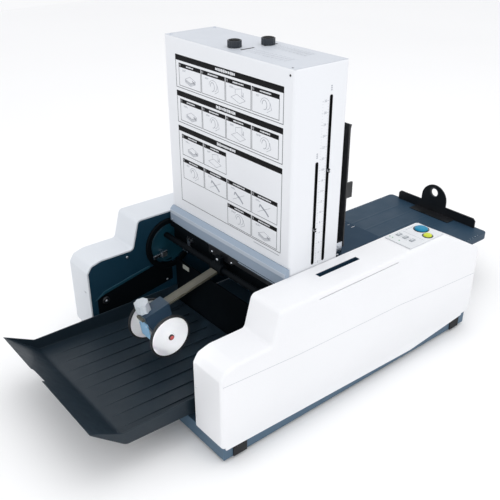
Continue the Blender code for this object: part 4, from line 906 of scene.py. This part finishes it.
for name, x, head in SLOTS:
    stop_low, stop_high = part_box(f"fold_stop_{name}")
    z = (stop_low.z + stop_high.z) / 2
    y = stop_low.y
    x0 = delivery_x + x - 0.0021
    x1 = delivery_x + x + 0.0021
    body = body_of(f"fold_stop_{name}")
    pointer = bmesh.new()
    add_box(pointer, (x0, y - 0.0016, z - 0.0035), (x1, y + 0.0002, z + 0.0035))
    piece_of(pointer, f"stop_pointer_{name}", ink_black, body, edge=0.0004)
    line = bmesh.new()
    add_box(line, (x0, y - 0.0018, z - 0.0004), (x1, y - 0.0015, z + 0.0004))
    piece_of(line, f"stop_pointer_{name}_line", ink_white, body)

# ---------------------------------------------------------------- knobs, labels and screws on the tower's top
# Two charcoal knobs with gripping ribs turn the lead screws. Beside each, a black pointer line and a pale
# printed table of fold settings lie on the top face.

TOP_Z = tower_high.z
charcoal_plastic = moulded("charcoal_plastic", (0.016, 0.022, 0.031), 0.40)


def grip_tree():
    """Ribs about a round grip: a small block on every point of a circle, turned to face out."""
    sockets = [("Count", "Int"), ("Radius", "Float"), ("Rib", "Vector"), ("Finish", "Material")]
    tree, start, end = tree_with("grip_ribs", sockets)
    nodes = tree.nodes
    link = tree.links.new
    circle = nodes.new("GeometryNodeMeshCircle")
    rib = nodes.new("GeometryNodeMeshCube")
    place = nodes.new("GeometryNodeInputPosition")
    turn = nodes.new("FunctionNodeAlignRotationToVector")
    turn.axis = "X"
    scatter = nodes.new("GeometryNodeInstanceOnPoints")
    link(start.outputs["Count"], circle.inputs["Vertices"])
    link(start.outputs["Radius"], circle.inputs["Radius"])
    link(start.outputs["Rib"], rib.inputs["Size"])
    link(circle.outputs["Mesh"], scatter.inputs["Points"])
    link(rib.outputs["Mesh"], scatter.inputs["Instance"])
    link(place.outputs["Position"], turn.inputs["Vector"])
    link(turn.outputs["Rotation"], scatter.inputs["Rotation"])
    paint_instances(tree, start, end, scatter)
    return tree


GRIP = grip_tree()


def grip(bm, count, radius, rib, finish, move):
    """Adds a ring of gripping ribs, made about +Z and then moved into place."""
    seed = bpy.data.meshes.new("grip_start")
    mesh = grow(GRIP, seed, {"Count": count, "Radius": radius, "Rib": rib, "Finish": finish})
    mesh.transform(move)
    gather(bm, mesh)


for name in ("front", "rear"):
    eased(f"stop_knob_{name}", charcoal_plastic, 0.0006)
    knob_low, knob_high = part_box(f"stop_knob_{name}")
    middle = (knob_low + knob_high) / 2
    radius = (knob_high.x - knob_low.x) / 2
    trim = bmesh.new()
    profile = [(0.80, -0.0002), (0.80, 0.0005), (0.74, 0.0008), (0.70, 0.0004)]
    profile = [(radius * share, up) for share, up in profile]
    turned_piece(trim, profile, (middle.x, middle.y, knob_high.z), (0, 0, 1))
    piece_of(trim, f"stop_knob_{name}_cap", ink_black, body_of(f"stop_knob_{name}"))

top_skin = bmesh.new()
add_box(
    top_skin,
    (tower_low.x + 0.0012, tower_low.y + 0.0012, TOP_Z - 0.0001),
    (tower_high.x - 0.0012, tower_high.y - 0.0012, TOP_Z + 0.00010),
)
top_paint = textured_paint("tower_top_paint", (0.55, 0.58, 0.63), 0.42, 1500.0, 0.08, 0.02, 0.06)
piece_of(top_skin, "tower_top_skin", top_paint, "frame")
top_black = bmesh.new()
top_grey = bmesh.new()
top_film = bmesh.new()
LABELS = (
    ((0.238, 0.266), (-0.136, -0.030), ((0.239, -0.019), (0.269, -0.023))),
    ((0.290, 0.321), (-0.128, -0.033), ((0.291, -0.020), (0.322, -0.024))),
)
for (x0, x1), (y0, y1), (line_from, line_to) in LABELS:
    left = delivery_x + x0
    right = delivery_x + x1
    add_box(top_film, (left, y0, TOP_Z - 0.0001), (right, y1, TOP_Z + 0.00025))
    low = (delivery_x + line_from[0], line_to[1], TOP_Z - 0.0001)
    add_box(top_black, low, (delivery_x + line_to[0], line_to[1] + 0.0042, TOP_Z + 0.0003))
    for row in range(10):
        y = y0 + 0.005 + row * (y1 - y0 - 0.010) / 9
        start = (left + 0.004, y, TOP_Z + 0.0003)
        short = (0.0024, 0.0016, 0.0001)
        add_marks(top_grey, start, (0.0040, 0, 0), 6, short, ink_grey, (0.0031, 0.0022, 0.0001), 3)
        add_box(top_grey, (left + 0.001, y + 0.0040, TOP_Z), (right - 0.001, y + 0.0043, TOP_Z + 0.0003))
dot = Vector((tower_low.x + 0.006, tower_low.y + 0.012, TOP_Z))
add_box(top_black, dot, dot + Vector((0.003, 0.003, 0.0003)))
label_paper = moulded("top_label_paper", (0.57, 0.60, 0.65), 0.5, 2000.0, 0.02)
piece_of(top_film, "top_setting_tables", label_paper, "frame", edge=0.0001)
piece_of(top_black, "top_pointer_lines", ink_black, "frame")
piece_of(top_grey, "top_table_print", ink_grey, "frame")

places = []
for y, z in ((tower_high.y - 0.006, 0.274), (tower_low.y + 0.003, 0.273), (tower_low.y + 0.010, 0.621)):
    places.append(((tower_low.x, y, z), (-1, 0, 0)))
screws("tower_front_screws", places, 0.0018, slot_edge, "frame")
places = [((x, tower_high.y - 0.012, TOP_Z), (0, 0, 1)) for x in (tower_low.x + 0.010, tower_high.x - 0.010)]
for y in (tower_low.y + 0.012, tower_high.y - 0.012):
    for z in (0.300, 0.440, 0.600):
        places.append(((tower_high.x, y, z), (1, 0, 0)))
screws("tower_back_screws", places, 0.0028, bright_zinc, "frame")

# ---------------------------------------------------------------- front rail and its bracket
# A blue-grey rail closes the gap under the tower's front wall. It has a paler rolled lip along its top, and
# a black bracket is screwed to its lower half. A black band along the rail's foot, broader at the far end, is
# painted shadow.

strip_paint = textured_paint("strip_blue_grey_paint", (0.30, 0.37, 0.46), 0.36)
lip_paint = textured_paint("strip_lip_paint", (0.50, 0.56, 0.64), 0.36)
eased("front_strip", strip_paint, 0.0006)
eased("strip_bracket", black_enamel, 0.0004)
strip_low, strip_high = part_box("front_strip")
lip = bmesh.new()
lip_z = strip_high.z - 0.0075
lip_low = (strip_low.x - 0.0007, strip_low.y + 0.001, lip_z - 0.0085)
add_box(lip, lip_low, (strip_low.x + 0.001, strip_high.y - 0.001, lip_z))
piece_of(lip, "front_strip_lip", lip_paint, "frame", edge=0.0005)
groove = bmesh.new()
add_box(
    groove,
    (strip_low.x - 0.0004, strip_low.y + 0.001, strip_low.z + 0.0105),
    (strip_low.x + 0.001, strip_high.y - 0.001, strip_low.z + 0.0115),
)
piece_of(groove, "front_strip_groove", slot_edge, "frame")
# Painted shadow: a black band over the rail's lower part, broader at the far end.
shadow_band = bmesh.new()
shadow_band_shape = [(strip_low.y, 0.0), (strip_high.y, 0.0), (strip_high.y, 0.0135), (strip_low.y, 0.0030)]
shadow_band_back = [(strip_low.x + 0.0010, y, strip_low.z + up) for y, up in shadow_band_shape]
shadow_band_front = [(strip_low.x - 0.0009, y, strip_low.z + up) for y, up in shadow_band_shape]
close_loops(shadow_band, shadow_band_back, shadow_band_front)
piece_of(shadow_band, "front_strip_foot_seal", dull_black, "frame", edge=0.0003)
bracket_low, bracket_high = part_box("strip_bracket")
places = []
for y in (bracket_high.y - 0.012, bracket_high.y - 0.075):
    places.append(((bracket_low.x, y, bracket_low.z + 0.006), (-1, 0, 0)))
places.append(((strip_low.x - 0.0004, strip_high.y - 0.008, strip_high.z - 0.030), (-1, 0, 0)))
screws("front_rail_screws", places, 0.0024, bright_zinc, "frame")

# ---------------------------------------------------------------- back panel
# A black sheet hinged at its foot behind the tower, with a hooked head, a pulling tab, two pressed ribs
# and zinc-plated posts at its hinge.

eased("rear_panel", black_enamel, 0.0006)
eased("panel_bracket", bright_zinc, 0.0004)
panel_low, panel_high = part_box("rear_panel")
ribs = bmesh.new()
hinge_x = delivery_x + 0.361
HINGE_Z = 0.274
lean = 0.0045 / 0.240
for z in (0.330, 0.470):
    x = hinge_x - 0.0005 - (z - HINGE_Z) * lean + 0.0025
    add_box(ribs, (x - 0.0004, panel_low.y + 0.030, z - 0.004), (x + 0.0014, panel_high.y - 0.030, z + 0.004))
piece_of(ribs, "back_panel_ribs", black_enamel, "back_panel", edge=0.0006)
bracket_low, bracket_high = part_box("panel_bracket")
posts = []
for y, way in ((bracket_low.y, -1), (bracket_high.y, 1)):
    for z in (bracket_low.z + 0.006, bracket_high.z - 0.007):
        posts.append((((bracket_low.x + bracket_high.x) / 2, y, z), (0, way, 0)))
screws("panel_bracket_screws", posts, 0.0026, machine_steel, "frame")

# ---------------------------------------------------------------- feed table, deck and roller
# A slate-painted pressed table with a turned-down skirt, the dark deck over the sheets' leading edge, the
# rubber feed roller in its window and the pad that separates the sheets.

table_paint = textured_paint("table_slate_paint", (0.020, 0.050, 0.086), 0.50, shine=0.2)
deck_paint = textured_paint("deck_slate_paint", (0.018, 0.044, 0.078), 0.55, shine=0.1)
eased("feed_table", table_paint, 0.0008)
eased("feed_deck", deck_paint, 0.0006)
eased("feed_roller", foot_rubber, 0.0006)
dress("separator_pad", black_enamel)
table_low, table_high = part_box("feed_table")
deck_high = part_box("feed_deck")[1]
roller_low, roller_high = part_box("feed_roller")
TABLE_MIDDLE = (table_low.y + table_high.y) / 2

beads = bmesh.new()
bead_profile = ((-0.0040, 0.0), (-0.0022, 0.00034), (0.0022, 0.00034), (0.0040, 0.0))
bead_ends = (delivery_x + 0.500, delivery_x + 0.860)
for y in (-0.090, -0.045, 0.0, 0.045, 0.090):
    edges = []
    for across, up in bead_profile:
        edges.append([(x, TABLE_MIDDLE + y + across, table_high.z + up) for x in bead_ends])
    for (a0, a1), (b0, b1) in zip(edges, edges[1:]):
        beads.faces.new([beads.verts.new(point) for point in (a0, a1, b1, b0)])
bmesh.ops.remove_doubles(beads, verts=beads.verts, dist=1e-6)
solid = bmesh.ops.extrude_face_region(beads, geom=beads.faces[:])
low_verts = [item for item in solid["geom"] if isinstance(item, bmesh.types.BMVert)]
bmesh.ops.translate(beads, verts=low_verts, vec=(0, 0, -0.0006))
piece_of(beads, "feed_table_beads", table_paint, "frame")

deck_print = bmesh.new()
deck_start = (delivery_x + 0.470, TABLE_MIDDLE - 0.100, deck_high.z + 0.00005)
short_mark = (0.0060, 0.0006, 0.0002)
add_marks(deck_print, deck_start, (0, 0.0125, 0), 17, short_mark, ink_grey, (0.0100, 0.0008, 0.0002), 4)
piece_of(deck_print, "deck_width_marks", ink_white, "frame")

table_marks = bmesh.new()
for y in (TABLE_MIDDLE - 0.1495, TABLE_MIDDLE + 0.1495):
    start = (delivery_x + 0.660, y, table_high.z + 0.00004)
    short_mark = (0.0005, 0.0020, 0.00012)
    add_marks(table_marks, start, (0.010, 0, 0), 22, short_mark, ink_grey, (0.0008, 0.0034, 0.00012), 5)
piece_of(table_marks, "table_length_marks", ink_white, "frame")

sleeve = bmesh.new()
roller_x = (roller_low.x + roller_high.x) / 2
roller_z = (roller_low.z + roller_high.z) / 2
lying = Matrix.Translation((roller_x, TABLE_MIDDLE, roller_z)) @ Matrix.Rotation(math.pi / 2, 4, "X")
grip(sleeve, 40, 0.0201, (0.0006, 0.0014, 0.104), foot_rubber, lying)
piece_of(sleeve, "feed_roller_tread", foot_rubber, body_of("feed_roller"))

# ---------------------------------------------------------------- side guides and rear stop
# Zinc-plated angle guides square the stack. The black rear stop has a round ear with a finger hole, ringed
# by a moulded grommet, and a ribbed foot.

guide_steel = brushed("guide_steel", (0.60, 0.62, 0.65), 0.34, (0.4, 9.0, 9.0))
for side in ("near", "far"):
    eased(f"side_guide_{side}", guide_steel, 0.0003)
    guide_low, guide_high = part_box(f"side_guide_{side}")
    knob = bmesh.new()
    foot_x = guide_high.x - 0.020
    foot_y = guide_low.y + 0.012 if side == "far" else guide_high.y - 0.012
    nut_profile = [(0.0060, 0.0), (0.0060, 0.0045), (0.0052, 0.0055)]
    turned_piece(knob, nut_profile, (foot_x, foot_y, guide_low.z + 0.0014), (0, 0, 1), 24)
    grip_place = Matrix.Translation((foot_x, foot_y, guide_low.z + 0.0036))
    grip(knob, 16, 0.0060, (0.0012, 0.0011, 0.0036), black_enamel, grip_place)
    piece_of(knob, f"side_guide_{side}_nut", black_enamel, body_of(f"side_guide_{side}"))

eased("rear_stop", black_enamel, 0.0005)
stop_low, stop_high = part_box("rear_stop")
plate_x = stop_high.x
ear_y = TABLE_MIDDLE + 0.008
hole_z = stop_high.z - 0.038 + 0.018
grommet = [(0.0106, -0.0002), (0.0106, 0.0010), (0.0122, 0.0014), (0.0138, 0.0008), (0.0138, -0.0002)]
for name, x, way in (("front", plate_x - 0.003, -1), ("back", plate_x, 1)):
    ring = bmesh.new()
    turned_piece(ring, grommet, (x, ear_y, hole_z), (way, 0, 0), 40, hollow=True)
    piece_of(ring, f"rear_stop_grommet_{name}", charcoal_plastic, body_of("rear_stop"))

# ---------------------------------------------------------------- delivery tray
# A slate moulding with a turned-up tip. Low ribs run down its floor to let the sheets slide, and a rolled
# bead stiffens both sides.

tray_plastic = moulded("tray_slate_plastic", (0.010, 0.020, 0.030), 0.44, 900.0, 0.10, shine=0.35)
eased("delivery_tray", tray_plastic, 0.0008)
tray_low, tray_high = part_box("delivery_tray")
tray_ribs = bmesh.new()
TRAY_FLOOR = 0.0564
TRAY_SLOPE = 0.0044 / 0.150
rib_x = delivery_x + 0.035
rib_step = (0, (tray_high.y - tray_low.y - 0.080) / 8, 0)
rib_start = (rib_x, tray_low.y + 0.040, TRAY_FLOOR + 0.0022)
add_marks(tray_ribs, rib_start, rib_step, 9, (0.300, 0.0016, 0.0030), tray_plastic)
for vertex in tray_ribs.verts:
    vertex.co.z += TRAY_SLOPE * (rib_x - vertex.co.x) + 0.0006
piece_of(tray_ribs, "tray_floor_ribs", tray_plastic, "frame", edge=0.0005)

# ---------------------------------------------------------------- stacker arm
# A black cross bar carries a clamp, from which a bronze-grey rail slopes down to the wheels. The rail has
# shallow grooves along its top, and a clamping screw holds it.

eased("stacker_cross_bar", dull_black, 0.0)
eased("stacker_clamp", dull_black, 0.0005)
finger = bmesh.new()
add_box(finger, (delivery_x + 0.2074, 0.126, 0.184), (delivery_x + 0.2108, 0.146, 0.196))
add_box(finger, (delivery_x + 0.2074, 0.106, 0.216), (delivery_x + 0.2108, 0.125, 0.228))
add_box(finger, (delivery_x + 0.2088, 0.118, 0.190), (delivery_x + 0.2108, 0.128, 0.220))
piece_of(finger, "paper_path_fingers", bright_zinc, "frame", edge=0.0006)
bulk_low, bulk_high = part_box("delivery_bulkhead")
buffer = bmesh.new()
buffer_low = (bulk_low.x - 0.0016, 0.128, bulk_high.z - 0.014)
add_box(buffer, buffer_low, (bulk_low.x + 0.0002, 0.150, bulk_high.z - 0.004))
buffer_beige = moulded("buffer_beige", (0.50, 0.52, 0.46), 0.5)
piece_of(buffer, "paper_buffer_tab", buffer_beige, "frame", edge=0.0005)
shield = bmesh.new()
add_box(shield, (delivery_x + 0.2105, -0.185, 0.187), (delivery_x + 0.2117, 0.178, 0.2305))
piece_of(shield, "paper_path_shield", dull_black, "frame", edge=0.0003)
rail_paint = textured_paint("rail_bronze_grey", (0.078, 0.074, 0.056), 0.38, shine=0.35)
rail_shade = textured_paint("rail_groove_shade", (0.030, 0.030, 0.028), 0.5)
eased("stacker_rail", rail_paint, 0.0006)
clamp_low, clamp_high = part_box("stacker_clamp")
ARM_SLOPE = math.radians(13.2)
ARM_PIVOT = Vector((delivery_x + 0.193, (clamp_low.y + clamp_high.y) / 2, 0.2105))


def on_arm(along, across, up):
    """A point of the stacker arm: along the rail from its pivot, across it and square to it."""
    x = ARM_PIVOT.x - along * math.cos(ARM_SLOPE) - up * math.sin(ARM_SLOPE)
    z = ARM_PIVOT.z - along * math.sin(ARM_SLOPE) + up * math.cos(ARM_SLOPE)
    return Vector((x, ARM_PIVOT.y + across, z))


def arm_block(bm, along, across, up):
    """Adds a block in the arm's own directions, each range as (low, high)."""
    corners = [on_arm(a, c, u) for u in up for c in across for a in along]
    verts = [bm.verts.new(corner) for corner in corners]
    for face in ((0, 1, 3, 2), (4, 6, 7, 5), (0, 4, 5, 1), (2, 3, 7, 6), (0, 2, 6, 4), (1, 5, 7, 3)):
        bm.faces.new([verts[index] for index in face])


grooves = bmesh.new()
for across in (-0.0062, 0.0062):
    arm_block(grooves, (0.020, 0.128), (across - 0.0006, across + 0.0006), (0.0029, 0.00312))
piece_of(grooves, "stacker_rail_grooves", rail_shade, body_of("stacker_rail"))
clamp_screw = [(on_arm(0.0, 0.0, 0.0) + Vector((-0.003, 0.0, 0.0195)), (-1, 0, 0))]
screws("stacker_clamp_screw", clamp_screw, 0.0032, bright_zinc, body_of("stacker_clamp"))

# ---------------------------------------------------------------- stacker carriage and wheels
# The carriage on the rail's end holds the axle. A blue-grey front plate hangs between the two white disc
# wheels, whose black rubber tyres ride on folded sheets. A fluted grey knob locks the carriage.

thumb_grey = moulded("thumb_knob_grey", (0.42, 0.455, 0.49), 0.45)
wheel_white = moulded("wheel_white", (0.88, 0.89, 0.91), 0.34)
plate_blue = textured_paint("carriage_plate_blue_grey", (0.22, 0.40, 0.58), 0.36)
hub_red = moulded("hub_cap_red", (0.36, 0.045, 0.040), 0.35, gloss_coat=0.3)
head_slate = moulded("head_slate_plastic", (0.014, 0.032, 0.056), 0.42, shine=0.35)
eased("stacker_head", head_slate, 0.0008)
eased("stacker_thumb_knob", thumb_grey, 0.0006)
dress("stacker_axle", machine_steel)
KNOB_ALONG = 0.17496
KNOB_TOP = 0.0274
knob_cap = bmesh.new()
arm_square = (-math.sin(ARM_SLOPE), 0.0, math.cos(ARM_SLOPE))
cap_profile = [(0.0112, -0.0002), (0.0112, 0.0004), (0.0100, 0.0008), (0.0070, 0.0005)]
turned_piece(knob_cap, cap_profile, on_arm(KNOB_ALONG, 0.006, KNOB_TOP), arm_square)
piece_of(knob_cap, "thumb_knob_cap", thumb_grey, body_of("stacker_thumb_knob"))

axle_x = delivery_x + 0.047
axle_z = 0.132
front_plate = bmesh.new()
high_edge = Vector((delivery_x + 0.0142, 0.0, 0.1600))
low_edge = Vector((delivery_x + 0.0205, 0.0, 0.1215))
slant = (low_edge - high_edge).normalized()
out = Vector((slant.z, 0.0, -slant.x))
proud = out * 0.0010
sunk = out * 0.0004
corners = (high_edge - sunk, high_edge + proud, low_edge + proud, low_edge - sunk)
near_loop = [(corner.x, ARM_PIVOT.y - 0.0165, corner.z) for corner in corners]
far_loop = [(corner.x, ARM_PIVOT.y + 0.0165, corner.z) for corner in corners]
close_loops(front_plate, near_loop, far_loop)
head_body = body_of("stacker_head")
piece_of(front_plate, "stacker_front_plate", plate_blue, head_body, edge=0.0003)
spot = high_edge + slant * 0.006 + out * 0.0009
places = [((spot.x, ARM_PIVOT.y + side, spot.z), tuple(out)) for side in (-0.012, 0.012)]
screws("stacker_front_plate_screws", places, 0.0022, bright_zinc, head_body)
FACE_PROFILE = [(0.0388, -0.0008), (0.0388, 0.0002), (0.0380, 0.0005), (0.0370, 0.0001), (0.0120, 0.0001)]
WASHER_PROFILE = [(0.0058, -0.0006), (0.0058, 0.0022), (0.0048, 0.0030), (0.0036, 0.0031)]
CAP_PROFILE = [(0.0040, 0.0026), (0.0040, 0.0040), (0.0030, 0.0050), (0.0012, 0.0053)]
WHEEL_TRIM = (
    ("face", FACE_PROFILE, 0.001, 56, wheel_white, "wheel_white"),
    ("hub_washer", WASHER_PROFILE, 0.0, 28, black_enamel, "black_paint"),
    ("hub_cap", CAP_PROFILE, 0.0, 24, hub_red, "start_blue"),
)
for side, way in (("near", -1), ("far", 1)):
    eased(f"wheel_{side}", wheel_white, 0.0003)
    eased(f"tyre_{side}", foot_rubber, 0.0004)
    wheel_low, wheel_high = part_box(f"wheel_{side}")
    outer_y = wheel_high.y if way > 0 else wheel_low.y
    for name, profile, inset, sides, finish, slot in WHEEL_TRIM:
        trim = bmesh.new()
        turned_piece(trim, profile, (axle_x, outer_y - way * inset, axle_z), (0, way, 0), sides)
        piece_of(trim, f"wheel_{side}_{name}", finish, body_of(f"wheel_{side}"))

# ---------------------------------------------------------------- control panel
# A grey film panel in the near cover's top: a blue start button and a yellow-green stop button in dark
# bezels, three grey keys with plain symbols, and small indicator lamps.

panel_film = moulded("panel_film", (0.74, 0.76, 0.785), 0.35, 2000.0, 0.03)
eased("control_panel", panel_film, 0.0003)
panel_low, panel_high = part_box("control_panel")
BUTTONS = (
    ("start_button", "start_blue", (0.004, 0.24, 0.42)),
    ("stop_button", "stop_yellow_green", (0.60, 0.68, 0.05)),
)
for node, name, colour in BUTTONS:
    eased(node, moulded(name + "_gloss", colour, 0.40, gloss_coat=0.05, shine=0.25), 0.0005)
    low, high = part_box(node)
    middle = (low + high) / 2
    radius = (high.x - low.x) / 2 - 0.001
    bezel = bmesh.new()
    profile = [(0.0009, -0.0002), (0.0009, 0.0007), (0.0018, 0.0009), (0.0026, 0.0004), (0.0026, -0.0002)]
    profile = [(radius + reach, up) for reach, up in profile]
    turned_piece(bezel, profile, (middle.x, middle.y, panel_high.z), (0, 0, 1), 48, hollow=True)
    piece_of(bezel, f"{node}_bezel", charcoal_plastic, "frame")
    top = bmesh.new()
    profile = [(0.82, -0.0001), (0.80, 0.0006), (0.50, 0.0011), (0.15, 0.0013)]
    profile = [(radius * share, up) for share, up in profile]
    turned_piece(top, profile, (middle.x, middle.y, high.z), (0, 0, 1), 40)
    piece_of(top, f"{node}_crown", bpy.data.materials[name + "_gloss"], body_of(node))

key_grey = moulded("key_grey_plastic", (0.40, 0.43, 0.46), 0.42)
lamp_green = moulded("lamp_green", (0.10, 0.42, 0.16), 0.25, gloss_coat=0.5)
BAR = (0.0, 0.0028, 0.0004, 0.00015)
UPRIGHT = (0.0, 0.0004, 0.0022, 0.00014)
THREE_LINES = [(x, 0.0005, 0.0018, 0.00015) for x in (-0.0020, 0.0, 0.0020)]
for number, symbols in ((1, (BAR, UPRIGHT)), (2, (BAR,)), (3, THREE_LINES)):
    dress(f"key_{number}", key_grey)
    low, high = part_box(f"key_{number}")
    middle = (low + high) / 2
    symbol = bmesh.new()
    for x, wide, deep, rise in symbols:
        start = (middle.x + x - wide, middle.y - deep, high.z - 0.0001)
        add_box(symbol, start, (middle.x + x + wide, middle.y + deep, high.z + rise))
    piece_of(symbol, f"key_{number}_symbol", ink_white, body_of(f"key_{number}"))
lamps = bmesh.new()
lamp_profile = [(0.0013, -0.0001), (0.0013, 0.0005), (0.0007, 0.0009)]
for y in (-0.1967, -0.2037, -0.2202):
    turned_piece(lamps, lamp_profile, (panel_low.x + 0.0105, y, panel_high.z), (0, 0, 1), 16)
piece_of(lamps, "panel_lamps", lamp_green, "frame")
panel_print = bmesh.new()
print_z = panel_high.z + 0.00004
for y in (-0.2118, -0.2283):
    start = (panel_low.x + 0.022, y, print_z)
    short = (0.0016, 0.0011, 0.00012)
    add_marks(panel_print, start, (0.0026, 0, 0), 6, short, ink_grey, (0.0021, 0.0013, 0.00012), 3)
line_low = (panel_low.x + 0.048, panel_low.y + 0.006, panel_high.z)
add_box(panel_print, line_low, (panel_low.x + 0.0486, panel_high.y - 0.006, panel_high.z + 0.0001))
start = (panel_low.x + 0.058, -0.1985, print_z)
short = (0.0019, 0.0012, 0.00012)
add_marks(panel_print, start, (0.0030, 0, 0), 8, short, ink_grey, (0.0024, 0.0015, 0.00012), 3)
piece_of(panel_print, "panel_print", ink_grey, "frame")

# ---------------------------------------------------------------- hand slot in the near cover
# A dark moulded cup lines the slot in the near cover's top, where fingertips lift the cover's flap.

cup = bmesh.new()
slot_low = Vector((delivery_x + 0.2563, -0.2212, cover_high.z - 0.0085))
slot_high = Vector((delivery_x + 0.3607, -0.2098, cover_high.z - 0.0004))
wall = 0.0010
add_box(cup, slot_low, (slot_high.x, slot_high.y, slot_low.z + wall))
for x in (slot_low.x, slot_high.x - wall):
    add_box(cup, (x, slot_low.y, slot_low.z), (x + wall, slot_high.y, slot_high.z))
for y in (slot_low.y, slot_high.y - wall):
    add_box(cup, (slot_low.x, y, slot_low.z), (slot_high.x, y + wall, slot_high.z))
piece_of(cup, "hand_slot_cup", deck_paint, "frame")
slit = bmesh.new()
slit_low = (delivery_x + 0.2142, cover_low.y + 0.0022, cover_high.z - 0.0118)
add_box(slit, slit_low, (delivery_x + 0.4208, cover_low.y + 0.0030, cover_high.z - 0.0082))
piece_of(slit, "side_slit_shadow", black_enamel, "frame")

# ---------------------------------------------------------------- mains inlet, switch and the far side
# A black inlet with two blades and a rocker switch sit in the far cover's feed end. Screws hold the
# covers to the base along their lower edges, and cooling slots open the far cover beside the motor.

for node in ("power_inlet", "power_switch"):
    dress(node, charcoal_plastic)
inlet_low, inlet_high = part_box("power_inlet")
inlet_y = (inlet_low.y + inlet_high.y) / 2
inlet_z = (inlet_low.z + inlet_high.z) / 2
blades = bmesh.new()
for y in (inlet_y - 0.0050, inlet_y + 0.0050):
    low = (inlet_high.x - 0.018, y - 0.0009, inlet_z - 0.0032)
    add_box(blades, low, (inlet_high.x - 0.006, y + 0.0009, inlet_z + 0.0012))
piece_of(blades, "inlet_blades", bright_zinc, "frame", edge=0.0002)
switch_low, switch_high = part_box("power_switch")
switch_mark = bmesh.new()
add_box(
    switch_mark,
    (switch_high.x - 0.0024, (switch_low.y + switch_high.y) / 2 - 0.0005, switch_high.z - 0.0030),
    (switch_high.x - 0.0010, (switch_low.y + switch_high.y) / 2 + 0.0005, switch_high.z - 0.0014),
)
piece_of(switch_mark, "switch_mark", ink_white, body_of("power_switch"))
surround = bmesh.new()
COVER_LENGTH = 0.694
SWITCH_Z = 0.118
wall_x = delivery_x + COVER_LENGTH
y0, y1 = switch_low.y - 0.0035, switch_high.y + 0.0035
z0, z1 = SWITCH_Z - 0.0105, SWITCH_Z + 0.0105
for low, high in (
    ((wall_x, y0, z0), (wall_x + 0.0014, y1, z0 + 0.0030)),
    ((wall_x, y0, z1 - 0.0030), (wall_x + 0.0014, y1, z1)),
    ((wall_x, y0, z0), (wall_x + 0.0014, y0 + 0.0028, z1)),
    ((wall_x, y1 - 0.0028, z0), (wall_x + 0.0014, y1, z1)),
):
    add_box(surround, low, high)
piece_of(surround, "switch_surround", charcoal_plastic, "frame")
places = [((wall_x + 0.0024, inlet_y + side * 0.0155, inlet_z), (1, 0, 0)) for side in (-1, 1)]
screws("inlet_screws", places, 0.0016, bright_zinc, "frame")
vents = bmesh.new()
vent_start = (delivery_x + 0.262, far_high.y + 0.00003, 0.105)
add_marks(vents, vent_start, (0.0095, 0, 0), 11, (0.0042, 0.00026, 0.034), black_enamel)
piece_of(vents, "cooling_slots", black_enamel, "frame")
places = []
for x in (0.045, 0.260, 0.470, 0.640):
    places.append(((delivery_x + x, far_high.y, 0.050), (0, 1, 0)))
screws("cover_side_screws", places, 0.0030, bright_zinc, "frame")
